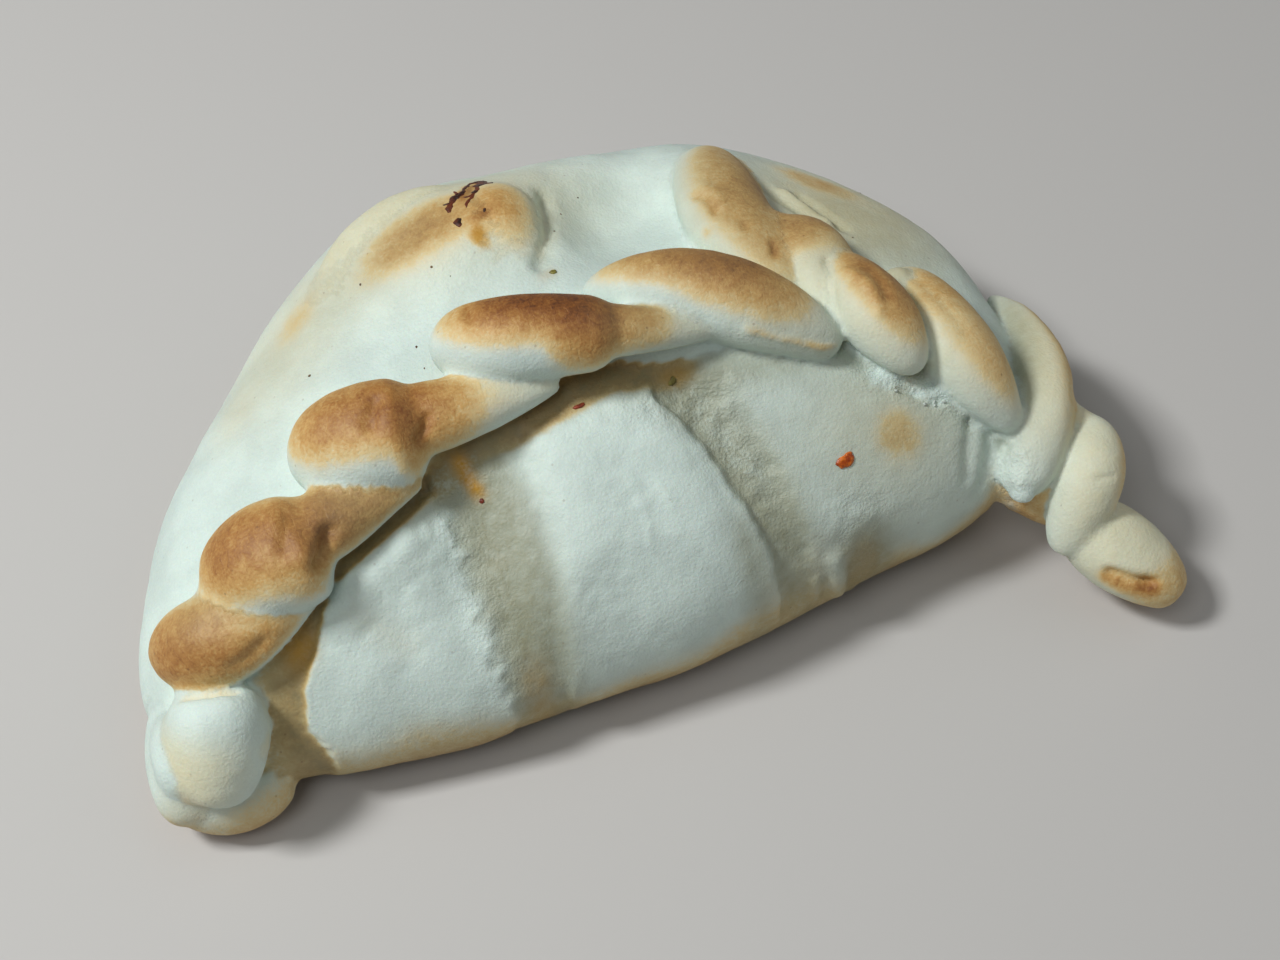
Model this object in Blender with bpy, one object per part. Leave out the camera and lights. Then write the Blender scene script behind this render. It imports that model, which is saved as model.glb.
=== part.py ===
"""A baked empanada with a hand-folded rope edge, as one closed solid.

Named sizes are in millimetres and become metres when the mesh is made. +X runs along the length,
from the broad folded end to the rolled tail, +Y points to the full back side, and +Z is up. The
origin ends under the middle of the bounding box, on the resting face.
"""

import math
from dataclasses import dataclass

import bmesh
import bpy
import numpy as np

MM = 0.001

# The dough pocket, a rounded D in plan whose straight side faces -Y.
POCKET_CENTRE = (-8.0, 4.0)
POCKET_HEIGHT = 36.0
POCKET_FOOT = 0.76  # resting face against the widest ring
POCKET_SEGMENTS = 120
POCKET_RINGS = 24
# Spokes of the pocket: angle from +X, radius, height of the widest ring, and fullness of the dome
# above it, where 2 is an ellipse and more is squarer.
POCKET_SPOKES = (
    (0, 57.5, 18.0, 2.0),
    (45, 52.5, 15.0, 2.0),
    (90, 44.5, 14.0, 2.2),
    (112, 48.0, 14.0, 2.2),
    (135, 48.5, 13.0, 2.1),
    (160, 52.0, 11.0, 2.0),
    (180, 61.0, 9.5, 1.8),
    (203, 68.5, 8.5, 1.65),
    (225, 50.5, 9.0, 1.6),
    (250, 38.2, 10.0, 1.8),
    (275, 35.2, 10.5, 2.0),
    (295, 36.6, 10.5, 2.0),
    (315, 42.8, 12.0, 1.9),
    (338, 58.6, 15.5, 1.95),
)

# Soft swellings and hollows of the pocket: x, y, radius along, radius across, turn, height.
SWELLINGS = (
    (-23.0, 29.5, 16.0, 10.5, -8.0, 5.5),
    (18.0, 33.0, 8.0, 13.0, 0.0, 3.0),
    (2.5, 24.0, 9.0, 10.0, 0.0, -4.0),
    (-3.0, 37.0, 10.0, 7.0, 10.0, 2.2),
    (-30.0, -22.0, 5.5, 15.0, 2.0, -2.6),
    (4.5, -17.5, 4.5, 14.0, 23.0, -2.2),
)
SWELLING_EDGE = 1.5  # 1 fades softly, more has a steeper edge

FOLD_STATIONS = 22
FOLD_SIDES = 18
PINCH_DEPTH = 0.16
PINCH_LENGTH = 0.05
STAND_FAN = 0.4  # how far the folds lean out towards the two ends
STAND_LEAN = 8.0  # and over the front
STAND_DEPTH = 12.0

VOXEL = 1.1
SMOOTHING_STEPS = 3
SOLID_TRIANGLES = 7600
RESTING_CUT = 0.6
CRUST_COLOUR = (0.62, 0.55, 0.42, 1.0)
CRUST_ROUGHNESS = 0.6


@dataclass
class Fold:
    """One fold of dough, by its crown and by how it runs to its head behind and its tip in front."""

    name: str
    crown: tuple
    heading: float  # degrees from +X, head to tip
    bend: float  # turn of the heading on the way, in degrees
    reach: tuple  # plan length from the crown to the head and to the tip
    dip: tuple  # how much lower than the crown the head and the tip are
    breadth: tuple  # full width near the head, at the crown and near the tip
    depth: float = 0.9  # thickness against width
    pinch: float = 0.0  # where a finger pinched it, from 0 at the head to 1 at the tip
    step: float = 0.0  # share of the width that is lost past the pinch
    hitch: float = 0.0  # share of that loss that the front side takes alone
    roundness: float = 0.55  # how blunt the ends are

    def end(self, side):
        """The head for side -1 and the tip for side 1, on the middle line."""
        angle = math.radians(self.heading + side * self.bend / 2)
        reach, dip = (self.reach[0], self.dip[0]) if side < 0 else (self.reach[1], self.dip[1])
        step = (side * reach * math.cos(angle), side * reach * math.sin(angle), -dip)
        return np.array(self.crown) + np.array(step)


# The rope edge, from the broad end to the tail.
FOLDS = (
    Fold("end_flap", (-68, -27.5, 6.5), -33, 56, (8, 9.5), (-2.5, 0.5), (10, 11, 9.5)),
    Fold("end_fill", (-70.6, -24.5, 8.5), -95, 0, (9, 7), (-1.5, 1.5), (10, 10, 9)),
    Fold("fold_1", (-65.5, -25.8, 16), -116, -10, (4.2, 5.5), (-4.5, 6), (12, 13, 12), roundness=0.4),
    Fold("fold_2", (-60.8, -17.3, 24), -12, 35, (9.6, 12.5), (6.5, -3.5), (10.5, 11.4, 3)),
    Fold("fold_3", (-50.4, -12.8, 31), -3, 25, (10.6, 16.8), (6, -2.3), (13, 14, 5.4),
         pinch=0.59, step=0.26, hitch=0.8),
    Fold("fold_4", (-35, -4.4, 36.2), -12, 25, (12, 20.7), (4.8, -0.9), (13.6, 14.1, 6),
         pinch=0.57, step=0.28, hitch=0.75),
    Fold("fold_5", (-14.8, 0.5, 41.4), -17, 18, (13.5, 21.5), (3.9, 3.4), (11.2, 11, 8),
         pinch=0.7, step=0.22, hitch=0.2),
    Fold("rope_fill", (-4, 1, 35.6), -12, 0, (14, 13), (0.5, 0.5), (6, 7, 6)),
    Fold("fold_6", (6.9, 2.0, 39.3), -28, -10, (16, 17.2), (1.7, 5.6), (6.5, 11.5, 8.5)),
    Fold("saddle_back", (16, 17.6, 34), -92, 23, (16.3, 15.8), (6, -0.4), (11.5, 12.5, 10), 0.72,
         roundness=0.36),
    Fold("saddle_front", (23.7, 7.5, 33.8), -80, -43, (8, 11), (0.8, -0.4), (8.5, 11, 8.5)),
    Fold("fold_7", (27.1, -4, 35.5), -75, 19, (12.5, 8.8), (3.6, 4.2), (7, 10.3, 6.8)),
    Fold("fold_8", (37.3, -9.6, 30), -74, 23, (14.3, 10.7), (1.5, 7), (8.5, 10.5, 7), roundness=0.48),
    Fold("fold_9", (49.2, -12.6, 21.6), -112, -27, (20.8, 14.7), (6.6, 5), (4.4, 7.6, 10.5), 1.15),
    Fold("fold_10", (51.2, -25.7, 17.8), -124, -20, (7.8, 8.7), (0.4, 7.8), (5, 9, 8), 1.0),
    Fold("crook", (51.9, -18.6, 18.4), -65, 0, (4.4, 4.4), (0, 0), (5, 5.2, 5), 1.15),
    Fold("tail", (53.5, -34.5, 9), -50, 0, (8.5, 8.3), (-3, 3.2), (11, 12, 9), roundness=0.44),
    Fold("join", (44.5, -17.5, 16), -50, -27, (9.5, 11.5), (-6, 6), (12.5, 15, 11), 1.0),
    Fold("back_ridge", (-28.2, 31.8, 28.8), 19, -44, (15.7, 15.7), (6.2, -2.3), (9, 11.6, 10.5)),
    Fold("nose", (-13.8, 25, 32.8), -95, -14, (8, 9.5), (1.6, 1.6), (10.5, 12.5, 7.5), roundness=0.5),
)


def around(knots, values, angles):
    """Smooth closed interpolation of values given at unevenly spaced angles, in degrees."""
    knots = np.concatenate([knots[-2:] - 360, knots, knots[:2] + 360])
    values = np.concatenate([values[-2:], values, values[:2]])
    slopes = np.gradient(values, knots)
    after = np.searchsorted(knots, angles, side="right")
    gap = knots[after] - knots[after - 1]
    t = (angles - knots[after - 1]) / gap
    rise = values[after] - values[after - 1]
    leave, arrive = slopes[after - 1] * gap, slopes[after] * gap
    bow = (1 - t) * leave - t * arrive + (2 * t - 1) * rise
    return values[after - 1] + t * rise + t * (1 - t) * bow


def through(t, start, middle, end):
    """A smooth course from start to end that passes the middle value half way."""
    return start * (1 - t) * (1 - 2 * t) + middle * 4 * t * (1 - t) + end * t * (2 * t - 1)


def swelling_height(x, y):
    """How far the swellings lift the pocket's skin at places in plan."""
    height = np.zeros_like(x)
    for centre_x, centre_y, radius_along, radius_across, turn, lift in SWELLINGS:
        c, s = math.cos(math.radians(turn)), math.sin(math.radians(turn))
        along = ((x - centre_x) * c + (y - centre_y) * s) / radius_along
        across = ((y - centre_y) * c - (x - centre_x) * s) / radius_across
        height += lift * np.exp(-((along**2 + across**2) ** SWELLING_EDGE))
    return height


def pocket_rings():
    """Rings of points from the crown of the pocket down to its resting face."""
    angles = 360 * np.arange(POCKET_SEGMENTS) / POCKET_SEGMENTS
    direction = np.stack([np.cos(np.radians(angles)), np.sin(np.radians(angles))], axis=1)
    knots, *columns = (np.array(column, float) for column in zip(*POCKET_SPOKES))
    radius, waist, fullness = (around(knots, column, angles) for column in columns)
    rings = []
    for step in range(1, POCKET_RINGS + 1):
        angle = math.pi / 2 * step / POCKET_RINGS
        share = math.sin(angle) ** (2 / fullness)
        plan = np.array(POCKET_CENTRE) + direction * (radius * share)[:, None]
        dome = (POCKET_HEIGHT - waist) * abs(math.cos(angle)) ** (2 / fullness)
        height = waist + dome + swelling_height(*plan.T) * (1 - share**4)
        rings.append(np.column_stack([plan, height]))
    for step in range(1, POCKET_RINGS // 2 + 1):
        angle = math.pi * step / POCKET_RINGS
        share = POCKET_FOOT + (1 - POCKET_FOOT) * math.cos(angle)
        plan = np.array(POCKET_CENTRE) + direction * (radius * share)[:, None]
        rings.append(np.column_stack([plan, waist * (1 - math.sin(angle))]))
    return rings


def fold_rings(fold):
    """Rings of points along one fold: a bent, tapered, round-ended roll, pinched where asked."""
    line = fold.end(-1), np.array(fold.crown), fold.end(1)
    turns = 2 * math.pi * np.arange(FOLD_SIDES)[:, None] / FOLD_SIDES
    rings = []
    for station in range(FOLD_STATIONS):
        angle = math.pi * (station + 0.5) / FOLD_STATIONS
        t = 0.5 - 0.5 * math.cos(angle)
        point = through(t, *line)
        tangent = through(t + 0.01, *line) - through(t - 0.01, *line)
        tangent /= np.linalg.norm(tangent)
        stand = np.array([STAND_FAN * point[0], -STAND_LEAN, point[2] + STAND_DEPTH])
        stand -= tangent * stand.dot(tangent)
        stand /= np.linalg.norm(stand)
        side = np.cross(tangent, stand)
        width = through(t, *fold.breadth) / 2 * math.sin(angle) ** fold.roundness
        if fold.pinch:
            behind = (t - fold.pinch) / PINCH_LENGTH
            width *= 1 - PINCH_DEPTH * math.exp(-(behind**2))
            share = min(max((behind + 1) / 2, 0), 1)
            lost = fold.step * share * share * (3 - 2 * share)
            point = point - side * (width * lost * fold.hitch)
            width *= 1 - lost
        rings.append(point + width * (np.cos(turns) * side + np.sin(turns) * fold.depth * stand))
    return rings


def add_closed_loft(mesh, rings):
    """Joins rings of points into a closed skin with a fan at each end."""
    loops = [[mesh.verts.new(point * MM) for point in ring] for ring in rings]
    first, last = (mesh.verts.new(ring.mean(axis=0) * MM) for ring in (rings[0], rings[-1]))
    count = len(loops[0])
    for upper, lower in zip(loops, loops[1:]):
        for k in range(count):
            mesh.faces.new((upper[k], lower[k], lower[(k + 1) % count], upper[(k + 1) % count]))
    for k in range(count):
        mesh.faces.new((first, loops[0][k], loops[0][(k + 1) % count]))
        mesh.faces.new((last, loops[-1][(k + 1) % count], loops[-1][k]))


def overlapping_dough():
    """The pocket and all folds in one mesh, still as separate overlapping skins."""
    mesh = bmesh.new()
    add_closed_loft(mesh, pocket_rings())
    for fold in FOLDS:
        add_closed_loft(mesh, fold_rings(fold))
    bmesh.ops.recalc_face_normals(mesh, faces=mesh.faces)
    data = bpy.data.meshes.new("empanada")
    mesh.to_mesh(data)
    mesh.free()
    return data


def apply_modifiers(dough):
    """Replaces an object's mesh by what its modifiers make of it."""
    bpy.context.view_layer.update()
    seen = dough.evaluated_get(bpy.context.evaluated_depsgraph_get())
    made = bpy.data.meshes.new_from_object(seen)
    dough.modifiers.clear()
    dough.data = made


def merge_into_one(dough):
    """Melts the overlapping skins into one smooth body and thins its triangles."""
    merge = dough.modifiers.new("merge", "REMESH")
    merge.mode = "VOXEL"
    merge.voxel_size = VOXEL * MM
    soften = dough.modifiers.new("soften", "SMOOTH")
    soften.factor = 0.5
    soften.iterations = SMOOTHING_STEPS
    apply_modifiers(dough)
    thin = dough.modifiers.new("thin", "DECIMATE")
    thin.ratio = SOLID_TRIANGLES / (2 * len(dough.data.polygons))
    apply_modifiers(dough)


def rest_on_flat_face(dough):
    """Cuts the body flat at the resting height and puts the origin under the middle of its box."""
    mesh = bmesh.new()
    mesh.from_mesh(dough.data)
    bmesh.ops.bisect_plane(
        mesh,
        geom=mesh.verts[:] + mesh.edges[:] + mesh.faces[:],
        plane_co=(0, 0, RESTING_CUT * MM),
        plane_no=(0, 0, -1),
        clear_outer=True,
    )
    rim = [edge for edge in mesh.edges if edge.is_boundary]
    base = bmesh.ops.contextual_create(mesh, geom=rim)["faces"]
    bmesh.ops.triangulate(mesh, faces=base)
    places = np.array([vert.co for vert in mesh.verts])
    low, high = places.min(axis=0), places.max(axis=0)
    middle = np.array([(low[0] + high[0]) / 2, (low[1] + high[1]) / 2, low[2]])
    bmesh.ops.translate(mesh, verts=mesh.verts, vec=tuple(-middle))
    mesh.to_mesh(dough.data)
    mesh.free()


def crust_material():
    """The plain crust of the solid."""
    crust = bpy.data.materials.new("crust")
    crust.use_nodes = True
    shader = crust.node_tree.nodes["Principled BSDF"]
    shader.inputs["Base Color"].default_value = CRUST_COLOUR
    shader.inputs["Roughness"].default_value = CRUST_ROUGHNESS
    shader.inputs["Metallic"].default_value = 0.0
    return crust


def main():
    """Builds the empanada."""
    for old in list(bpy.data.objects):
        bpy.data.objects.remove(old)
    dough = bpy.data.objects.new("empanada", overlapping_dough())
    bpy.context.scene.collection.objects.link(dough)
    merge_into_one(dough)
    rest_on_flat_face(dough)
    dough.data.shade_smooth()
    dough.data.materials.clear()
    dough.data.materials.append(crust_material())


main()
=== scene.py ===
"""A baked empanada with a hand-twisted rope edge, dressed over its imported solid.

Sizes are in millimetres until a mesh is written, and then in metres. The dough is one skin, made
from a rounded pocket and overlapping folds that melt together. Small marks, wrinkles and torn
places are pressed into it afterwards, and what the oven did to each place is kept as a tint.
"""

import logging
import math
from collections.abc import Mapping, Sequence
from dataclasses import dataclass, field
from enum import Enum
from typing import Any

import bmesh
import bpy
import numpy as np
from mathutils import Matrix, Vector
from mathutils.bvhtree import BVHTree
from mathutils.kdtree import KDTree


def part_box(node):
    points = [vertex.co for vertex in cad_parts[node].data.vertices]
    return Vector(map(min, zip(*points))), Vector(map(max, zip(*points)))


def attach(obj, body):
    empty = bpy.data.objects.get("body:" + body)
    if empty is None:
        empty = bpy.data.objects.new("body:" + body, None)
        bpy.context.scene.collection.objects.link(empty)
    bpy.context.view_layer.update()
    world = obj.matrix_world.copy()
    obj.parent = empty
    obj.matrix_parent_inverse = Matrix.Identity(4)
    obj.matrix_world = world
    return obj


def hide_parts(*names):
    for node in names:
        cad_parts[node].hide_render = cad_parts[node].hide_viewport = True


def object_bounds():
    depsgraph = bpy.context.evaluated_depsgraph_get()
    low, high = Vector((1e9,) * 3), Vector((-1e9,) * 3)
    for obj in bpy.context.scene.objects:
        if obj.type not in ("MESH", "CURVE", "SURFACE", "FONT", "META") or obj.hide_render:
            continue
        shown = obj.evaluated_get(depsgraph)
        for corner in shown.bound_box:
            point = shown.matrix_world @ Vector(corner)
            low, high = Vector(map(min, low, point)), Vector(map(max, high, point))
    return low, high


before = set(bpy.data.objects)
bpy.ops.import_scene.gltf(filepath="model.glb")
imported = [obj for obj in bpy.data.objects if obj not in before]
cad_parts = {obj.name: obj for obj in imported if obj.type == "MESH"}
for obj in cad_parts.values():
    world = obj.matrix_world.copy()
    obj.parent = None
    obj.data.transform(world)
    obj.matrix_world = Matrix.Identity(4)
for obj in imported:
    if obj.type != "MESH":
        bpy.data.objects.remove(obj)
CAD_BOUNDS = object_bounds()

Array = np.ndarray
Plan = tuple[float, float]
Span = tuple[float, float]
Place = tuple[float, float, float]
Colour = tuple[float, float, float]
Layers = tuple[tuple[float, float, int], ...]

HASH_PRIMES = np.array([73856093, 19349663, 83492791])
SEED_PRIME = 7919
HASH_FACTOR = 1274126177
HASH_HALF = 32767.5
SCRAP_SHAPE = (0.5, 0.95)
ALONG_SKIN = 0.8
BLUR_SHARE = 0.6
NODE = "empanada"
BODY = "root"
MM = 0.001
log = logging.getLogger("empanada")


class Tint(Enum):
    """What the oven or the filling did to a place on the dough, and where shade and a warm glow are
    painted on it: grease, toast and char also carry painted shade, and oil a painted glow.
    """

    TOAST_AND_SHADE = "toast_and_shade"
    CREAM = "cream"
    GREASE_AND_SHADE = "grease_and_shade"
    CHAR_AND_SHADE = "char_and_shade"
    FLAKE = "flake"
    OIL_AND_GLOW = "oil_and_glow"


class Scrap(Enum):
    """The kinds of small scraps that lie on the dough, by the name of their piece."""

    PEPPER = "pepper_scraps"
    CHILLI = "chilli_scraps"
    HERB = "herb_scraps"
    CRUMB = "dough_crumbs"
    SOOT = "scorched_specks"
    SCORCH = "scorched_crust"


# --------------------------------------------------------------------------- number helpers


def through(t: Array | float, start: Array, middle: Array, end: Array) -> Array:
    """A smooth course from start to end that passes the middle value half way.

    Args:
        t: Place on the course, from 0 to 1.
        start: Value at 0.
        middle: Value at one half.
        end: Value at 1.

    Returns:
        The value at t.
    """
    return start * (1 - t) * (1 - 2 * t) + middle * 4 * t * (1 - t) + end * t * (2 * t - 1)


def around(knots: Array, values: Array, angles: Array) -> Array:
    """Smooth closed interpolation of values given at unevenly spaced angles.

    Args:
        knots: Angles in degrees where the values are given, rising from 0.
        values: The values there.
        angles: Angles in degrees where values are wanted.

    Returns:
        The values at those angles.
    """
    knots = np.concatenate([knots[-2:] - 360, knots, knots[:2] + 360])
    values = np.concatenate([values[-2:], values, values[:2]])
    slopes = np.gradient(values, knots)
    after = np.searchsorted(knots, angles, side="right")
    gap = knots[after] - knots[after - 1]
    t = (angles - knots[after - 1]) / gap
    rise = values[after] - values[after - 1]
    leave, arrive = slopes[after - 1] * gap, slopes[after] * gap
    bow = (1 - t) * leave - t * arrive + (2 * t - 1) * rise
    return values[after - 1] + t * rise + t * (1 - t) * bow


def smooth_step(low: float, high: float, value: Array) -> Array:
    """Rises from 0 at low to 1 at high without a kink.

    Args:
        low: Where the rise starts.
        high: Where it ends. It may be below low, for a fall.
        value: The values to judge.

    Returns:
        The share at each value, from 0 to 1.
    """
    t = np.clip((value - low) / (high - low), 0, 1)
    return t * t * (3 - 2 * t)


def laid_over(value: Array, layer: Array) -> Array:
    """A tint with one more layer over it, never beyond full strength."""
    return value + layer * (1 - np.minimum(value, 1))


def noise(points: Array, size: float, seed: int) -> Array:
    """Smooth random values in features of one size.

    Args:
        points: Places, one to a row, in millimetres.
        size: Width of a feature in millimetres.
        seed: Picks one of many fields.

    Returns:
        A value from -1 to 1 for each place.
    """
    place = points / size
    cell = np.floor(place).astype(np.int64)
    share = place - cell
    share = share * share * (3 - 2 * share)
    total = np.zeros(len(points))
    for corner in range(8):
        step = np.array([corner & 1, corner >> 1 & 1, corner >> 2])
        key = ((cell + step) * HASH_PRIMES).sum(axis=1) + seed * SEED_PRIME
        key = (key ^ (key >> 13)) * HASH_FACTOR & 0xFFFFFFFF
        value = ((key ^ (key >> 16)) & 0xFFFF) / HASH_HALF - 1
        total += value * np.prod(np.where(step, share, 1 - share), axis=1)
    return total


def waves(places: Array, layers: Layers) -> Array:
    """Layers of noise added up.

    Args:
        places: Places, one to a row, in millimetres.
        layers: The strength, the feature size and the seed of each layer.

    Returns:
        The sum for each place.
    """
    return sum(strength * noise(places, size, seed) for strength, size, seed in layers)


def distance_to_line(points: Array, normals: Array, line: Array) -> Array:
    """How far places on a skin are from a line on it, measured mostly along the skin.

    Args:
        points: Places on the skin, one to a row.
        normals: The skin's normals there.
        line: The line's corners, one to a row, or one point.

    Returns:
        The distance for each place.
    """
    best = np.full(len(points), np.inf)
    for start, end in zip(line, line[1:] if len(line) > 1 else line):
        run = end - start
        share = np.clip((points - start) @ run / max(run @ run, 1e-9), 0, 1)
        gap = points - start - share[:, None] * run
        height = (gap * normals).sum(axis=1)
        flat = np.sqrt(np.maximum((gap * gap).sum(axis=1) - height**2 * ALONG_SKIN, 0))
        best = np.minimum(best, flat)
    return best


# --------------------------------------------------------------------------- the dough's parts


@dataclass(frozen=True)
class Spoke:
    """The pocket's section at one angle from +X, in degrees."""

    angle: float
    radius: float
    waist: float
    fullness: float


@dataclass(frozen=True)
class Swelling:
    """A soft swelling or hollow of the pocket's skin."""

    x: float
    y: float
    along: float
    across: float
    turn: float
    lift: float
    edge: float = 1.5


@dataclass(frozen=True)
class Skin:
    """One closed skin before the parts melt together, as rings of points.

    Rings hold the points, along the share of the way for each ring, and turn the angle from the
    crown for each point of a ring, in degrees.
    """

    name: str
    rings: Array
    along: Array
    turn: Array


@dataclass(frozen=True)
class Pocket:
    """The filled dough pocket: a rounded D in plan whose straight side faces -Y."""

    centre: Plan = (-8.0, 4.0)
    height: float = 36.0
    foot: float = 0.76
    segments: int = 240
    ring_count: int = 52
    spokes: tuple[Spoke, ...] = (
        Spoke(0, 57.5, 18.0, 2.0),
        Spoke(45, 52.5, 15.0, 2.0),
        Spoke(90, 44.5, 14.0, 2.2),
        Spoke(112, 48.0, 14.0, 2.2),
        Spoke(135, 48.5, 13.0, 2.1),
        Spoke(160, 52.0, 11.0, 2.0),
        Spoke(180, 61.0, 9.5, 1.8),
        Spoke(203, 68.5, 8.5, 1.65),
        Spoke(225, 50.5, 9.0, 1.6),
        Spoke(250, 38.2, 10.0, 1.8),
        Spoke(275, 35.2, 10.5, 2.0),
        Spoke(295, 36.6, 10.5, 2.0),
        Spoke(315, 42.8, 12.0, 1.9),
        Spoke(338, 58.6, 15.5, 1.95),
    )
    swellings: tuple[Swelling, ...] = (
        Swelling(-23.0, 29.5, 16.0, 10.5, -8.0, 5.5),
        Swelling(18.0, 33.0, 8.0, 13.0, 0.0, 3.0),
        Swelling(2.5, 24.0, 9.0, 10.0, 0.0, -4.0),
        Swelling(-3.0, 37.0, 10.0, 7.0, 10.0, 2.2),
        Swelling(-30.0, -22.0, 5.5, 15.0, 2.0, -2.6),
        Swelling(4.5, -17.5, 4.5, 14.0, 23.0, -2.2),
    )

    def swelling_height(self, x: Array, y: Array) -> Array:
        """How far the swellings lift the skin at places in plan.

        Args:
            x: The places along X.
            y: The places along Y.

        Returns:
            The lift at each place, in millimetres.
        """
        height = np.zeros_like(x)
        for swelling in self.swellings:
            turn = math.radians(swelling.turn)
            c, s = math.cos(turn), math.sin(turn)
            along = ((x - swelling.x) * c + (y - swelling.y) * s) / swelling.along
            across = ((y - swelling.y) * c - (x - swelling.x) * s) / swelling.across
            height += swelling.lift * np.exp(-((along**2 + across**2) ** swelling.edge))
        return height

    def skin(self) -> Skin:
        """The pocket's skin, from its crown down to its resting face.

        Returns:
            The skin as rings of points.
        """
        angles = 360 * np.arange(self.segments) / self.segments
        radians = np.radians(angles)
        direction = np.stack([np.cos(radians), np.sin(radians)], axis=1)
        table = np.array([(s.angle, s.radius, s.waist, s.fullness) for s in self.spokes])
        radius, waist, fullness = (around(table[:, 0], table[:, k], angles) for k in (1, 2, 3))
        rings = []
        for step in range(1, self.ring_count + 1):
            angle = math.pi / 2 * step / self.ring_count
            share = math.sin(angle) ** (2 / fullness)
            plan = np.array(self.centre) + direction * (radius * share)[:, None]
            dome = (self.height - waist) * abs(math.cos(angle)) ** (2 / fullness)
            height = waist + dome + self.swelling_height(*plan.T) * (1 - share**4)
            rings.append(np.column_stack([plan, height]))
        for step in range(1, self.ring_count // 2 + 1):
            angle = math.pi * step / self.ring_count
            share = self.foot + (1 - self.foot) * math.cos(angle)
            plan = np.array(self.centre) + direction * (radius * share)[:, None]
            rings.append(np.column_stack([plan, waist * (1 - math.sin(angle))]))
        stacked = np.array(rings)
        return Skin("pocket", stacked, np.linspace(0, 1, len(stacked)), angles)


@dataclass(frozen=True)
class Blush:
    """A tint on a fold, placed along it from 0 to 1 and around it in degrees from its crown."""

    tint: Tint
    along: float
    reach: float
    turn: float
    spread: float
    strength: float


@dataclass(frozen=True)
class Fold:
    """One fold of dough, by its crown and by how it runs to its head behind and its tip in front.

    Heading and bend are in degrees. Reach and dip are for the head and the tip, and breadth is
    near the head, at the crown and near the tip. At the pinch the fold narrows by the step, and the
    hitch says how much of that its front side takes alone. Melt is how far the head runs into the
    dough behind it. Lean sets which way the crown faces: the share of its X, its part along Y and
    its lift.
    """

    name: str
    crown: Place
    heading: float
    bend: float
    reach: Span
    dip: Span
    breadth: tuple[float, float, float]
    depth: float = 0.9
    pinch: float = 0.0
    step: float = 0.0
    hitch: float = 0.0
    melt: float = 0.0
    blushes: tuple[Blush, ...] = ()
    stations: int = 44
    sides: int = 40
    roundness: float = 0.55
    pinch_depth: float = 0.14
    pinch_length: float = 0.035
    lean: tuple[float, float, float] = (0.4, -8.0, 12.0)

    def end(self, side: int) -> Array:
        """The head for side -1 and the tip for side 1, on the middle line.

        Args:
            side: Which end.

        Returns:
            The end as a point.
        """
        angle = math.radians(self.heading + side * self.bend / 2)
        reach, dip = (self.reach[0], self.dip[0]) if side < 0 else (self.reach[1], self.dip[1])
        step = (side * reach * math.cos(angle), side * reach * math.sin(angle), -dip)
        return np.array(self.crown) + np.array(step)

    def skin(self) -> Skin:
        """The fold's skin: a bent, tapered, round-ended roll, pinched where asked.

        Returns:
            The skin as rings of points.
        """
        line = self.end(-1), np.array(self.crown), self.end(1)
        turns = 2 * math.pi * np.arange(self.sides)[:, None] / self.sides
        rings = []
        along = []
        for station in range(self.stations):
            angle = math.pi * (station + 0.5) / self.stations
            t = 0.5 - 0.5 * math.cos(angle)
            point = through(t, *line)
            tangent = through(t + 0.01, *line) - through(t - 0.01, *line)
            tangent /= np.linalg.norm(tangent)
            stand = np.array([self.lean[0] * point[0], self.lean[1], point[2] + self.lean[2]])
            stand -= tangent * stand.dot(tangent)
            stand /= np.linalg.norm(stand)
            side = np.cross(tangent, stand)
            width = through(t, *self.breadth) / 2 * math.sin(angle) ** self.roundness
            if self.pinch:
                behind = (t - self.pinch) / self.pinch_length
                width *= 1 - self.pinch_depth * math.exp(-(behind**2))
                lost = self.step * float(smooth_step(-1, 1, np.array(behind)))
                point = point - side * (width * lost * self.hitch)
                width *= 1 - lost
            rings.append(point + width * (np.cos(turns) * side + np.sin(turns) * self.depth * stand))
            along.append(t)
        turn = (90 - np.degrees(turns[:, 0]) + 180) % 360 - 180
        return Skin(self.name, np.array(rings), np.array(along), turn)


@dataclass(frozen=True)
class Lump:
    """A small rounded lump of dough, by its middle, its half sizes and its turn in plan."""

    name: str
    middle: Place
    half: Place
    heading: float = 0.0
    rings: int = 14
    sides: int = 24

    def skin(self) -> Skin:
        """The lump's skin, from its top down.

        Returns:
            The skin as rings of points.
        """
        tilt = math.pi * np.arange(1, self.rings)[:, None] / self.rings
        turns = 2 * math.pi * np.arange(self.sides)[None, :] / self.sides
        x, y = np.sin(tilt) * np.cos(turns) * self.half[0], np.sin(tilt) * np.sin(turns) * self.half[1]
        z = np.cos(tilt) * self.half[2] + 0 * turns
        c, s = math.cos(math.radians(self.heading)), math.sin(math.radians(self.heading))
        rings = np.stack([x * c - y * s, x * s + y * c, z], axis=2) + np.array(self.middle)
        return Skin(self.name, rings, tilt[:, 0] / math.pi, np.degrees(turns[0]))


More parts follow.
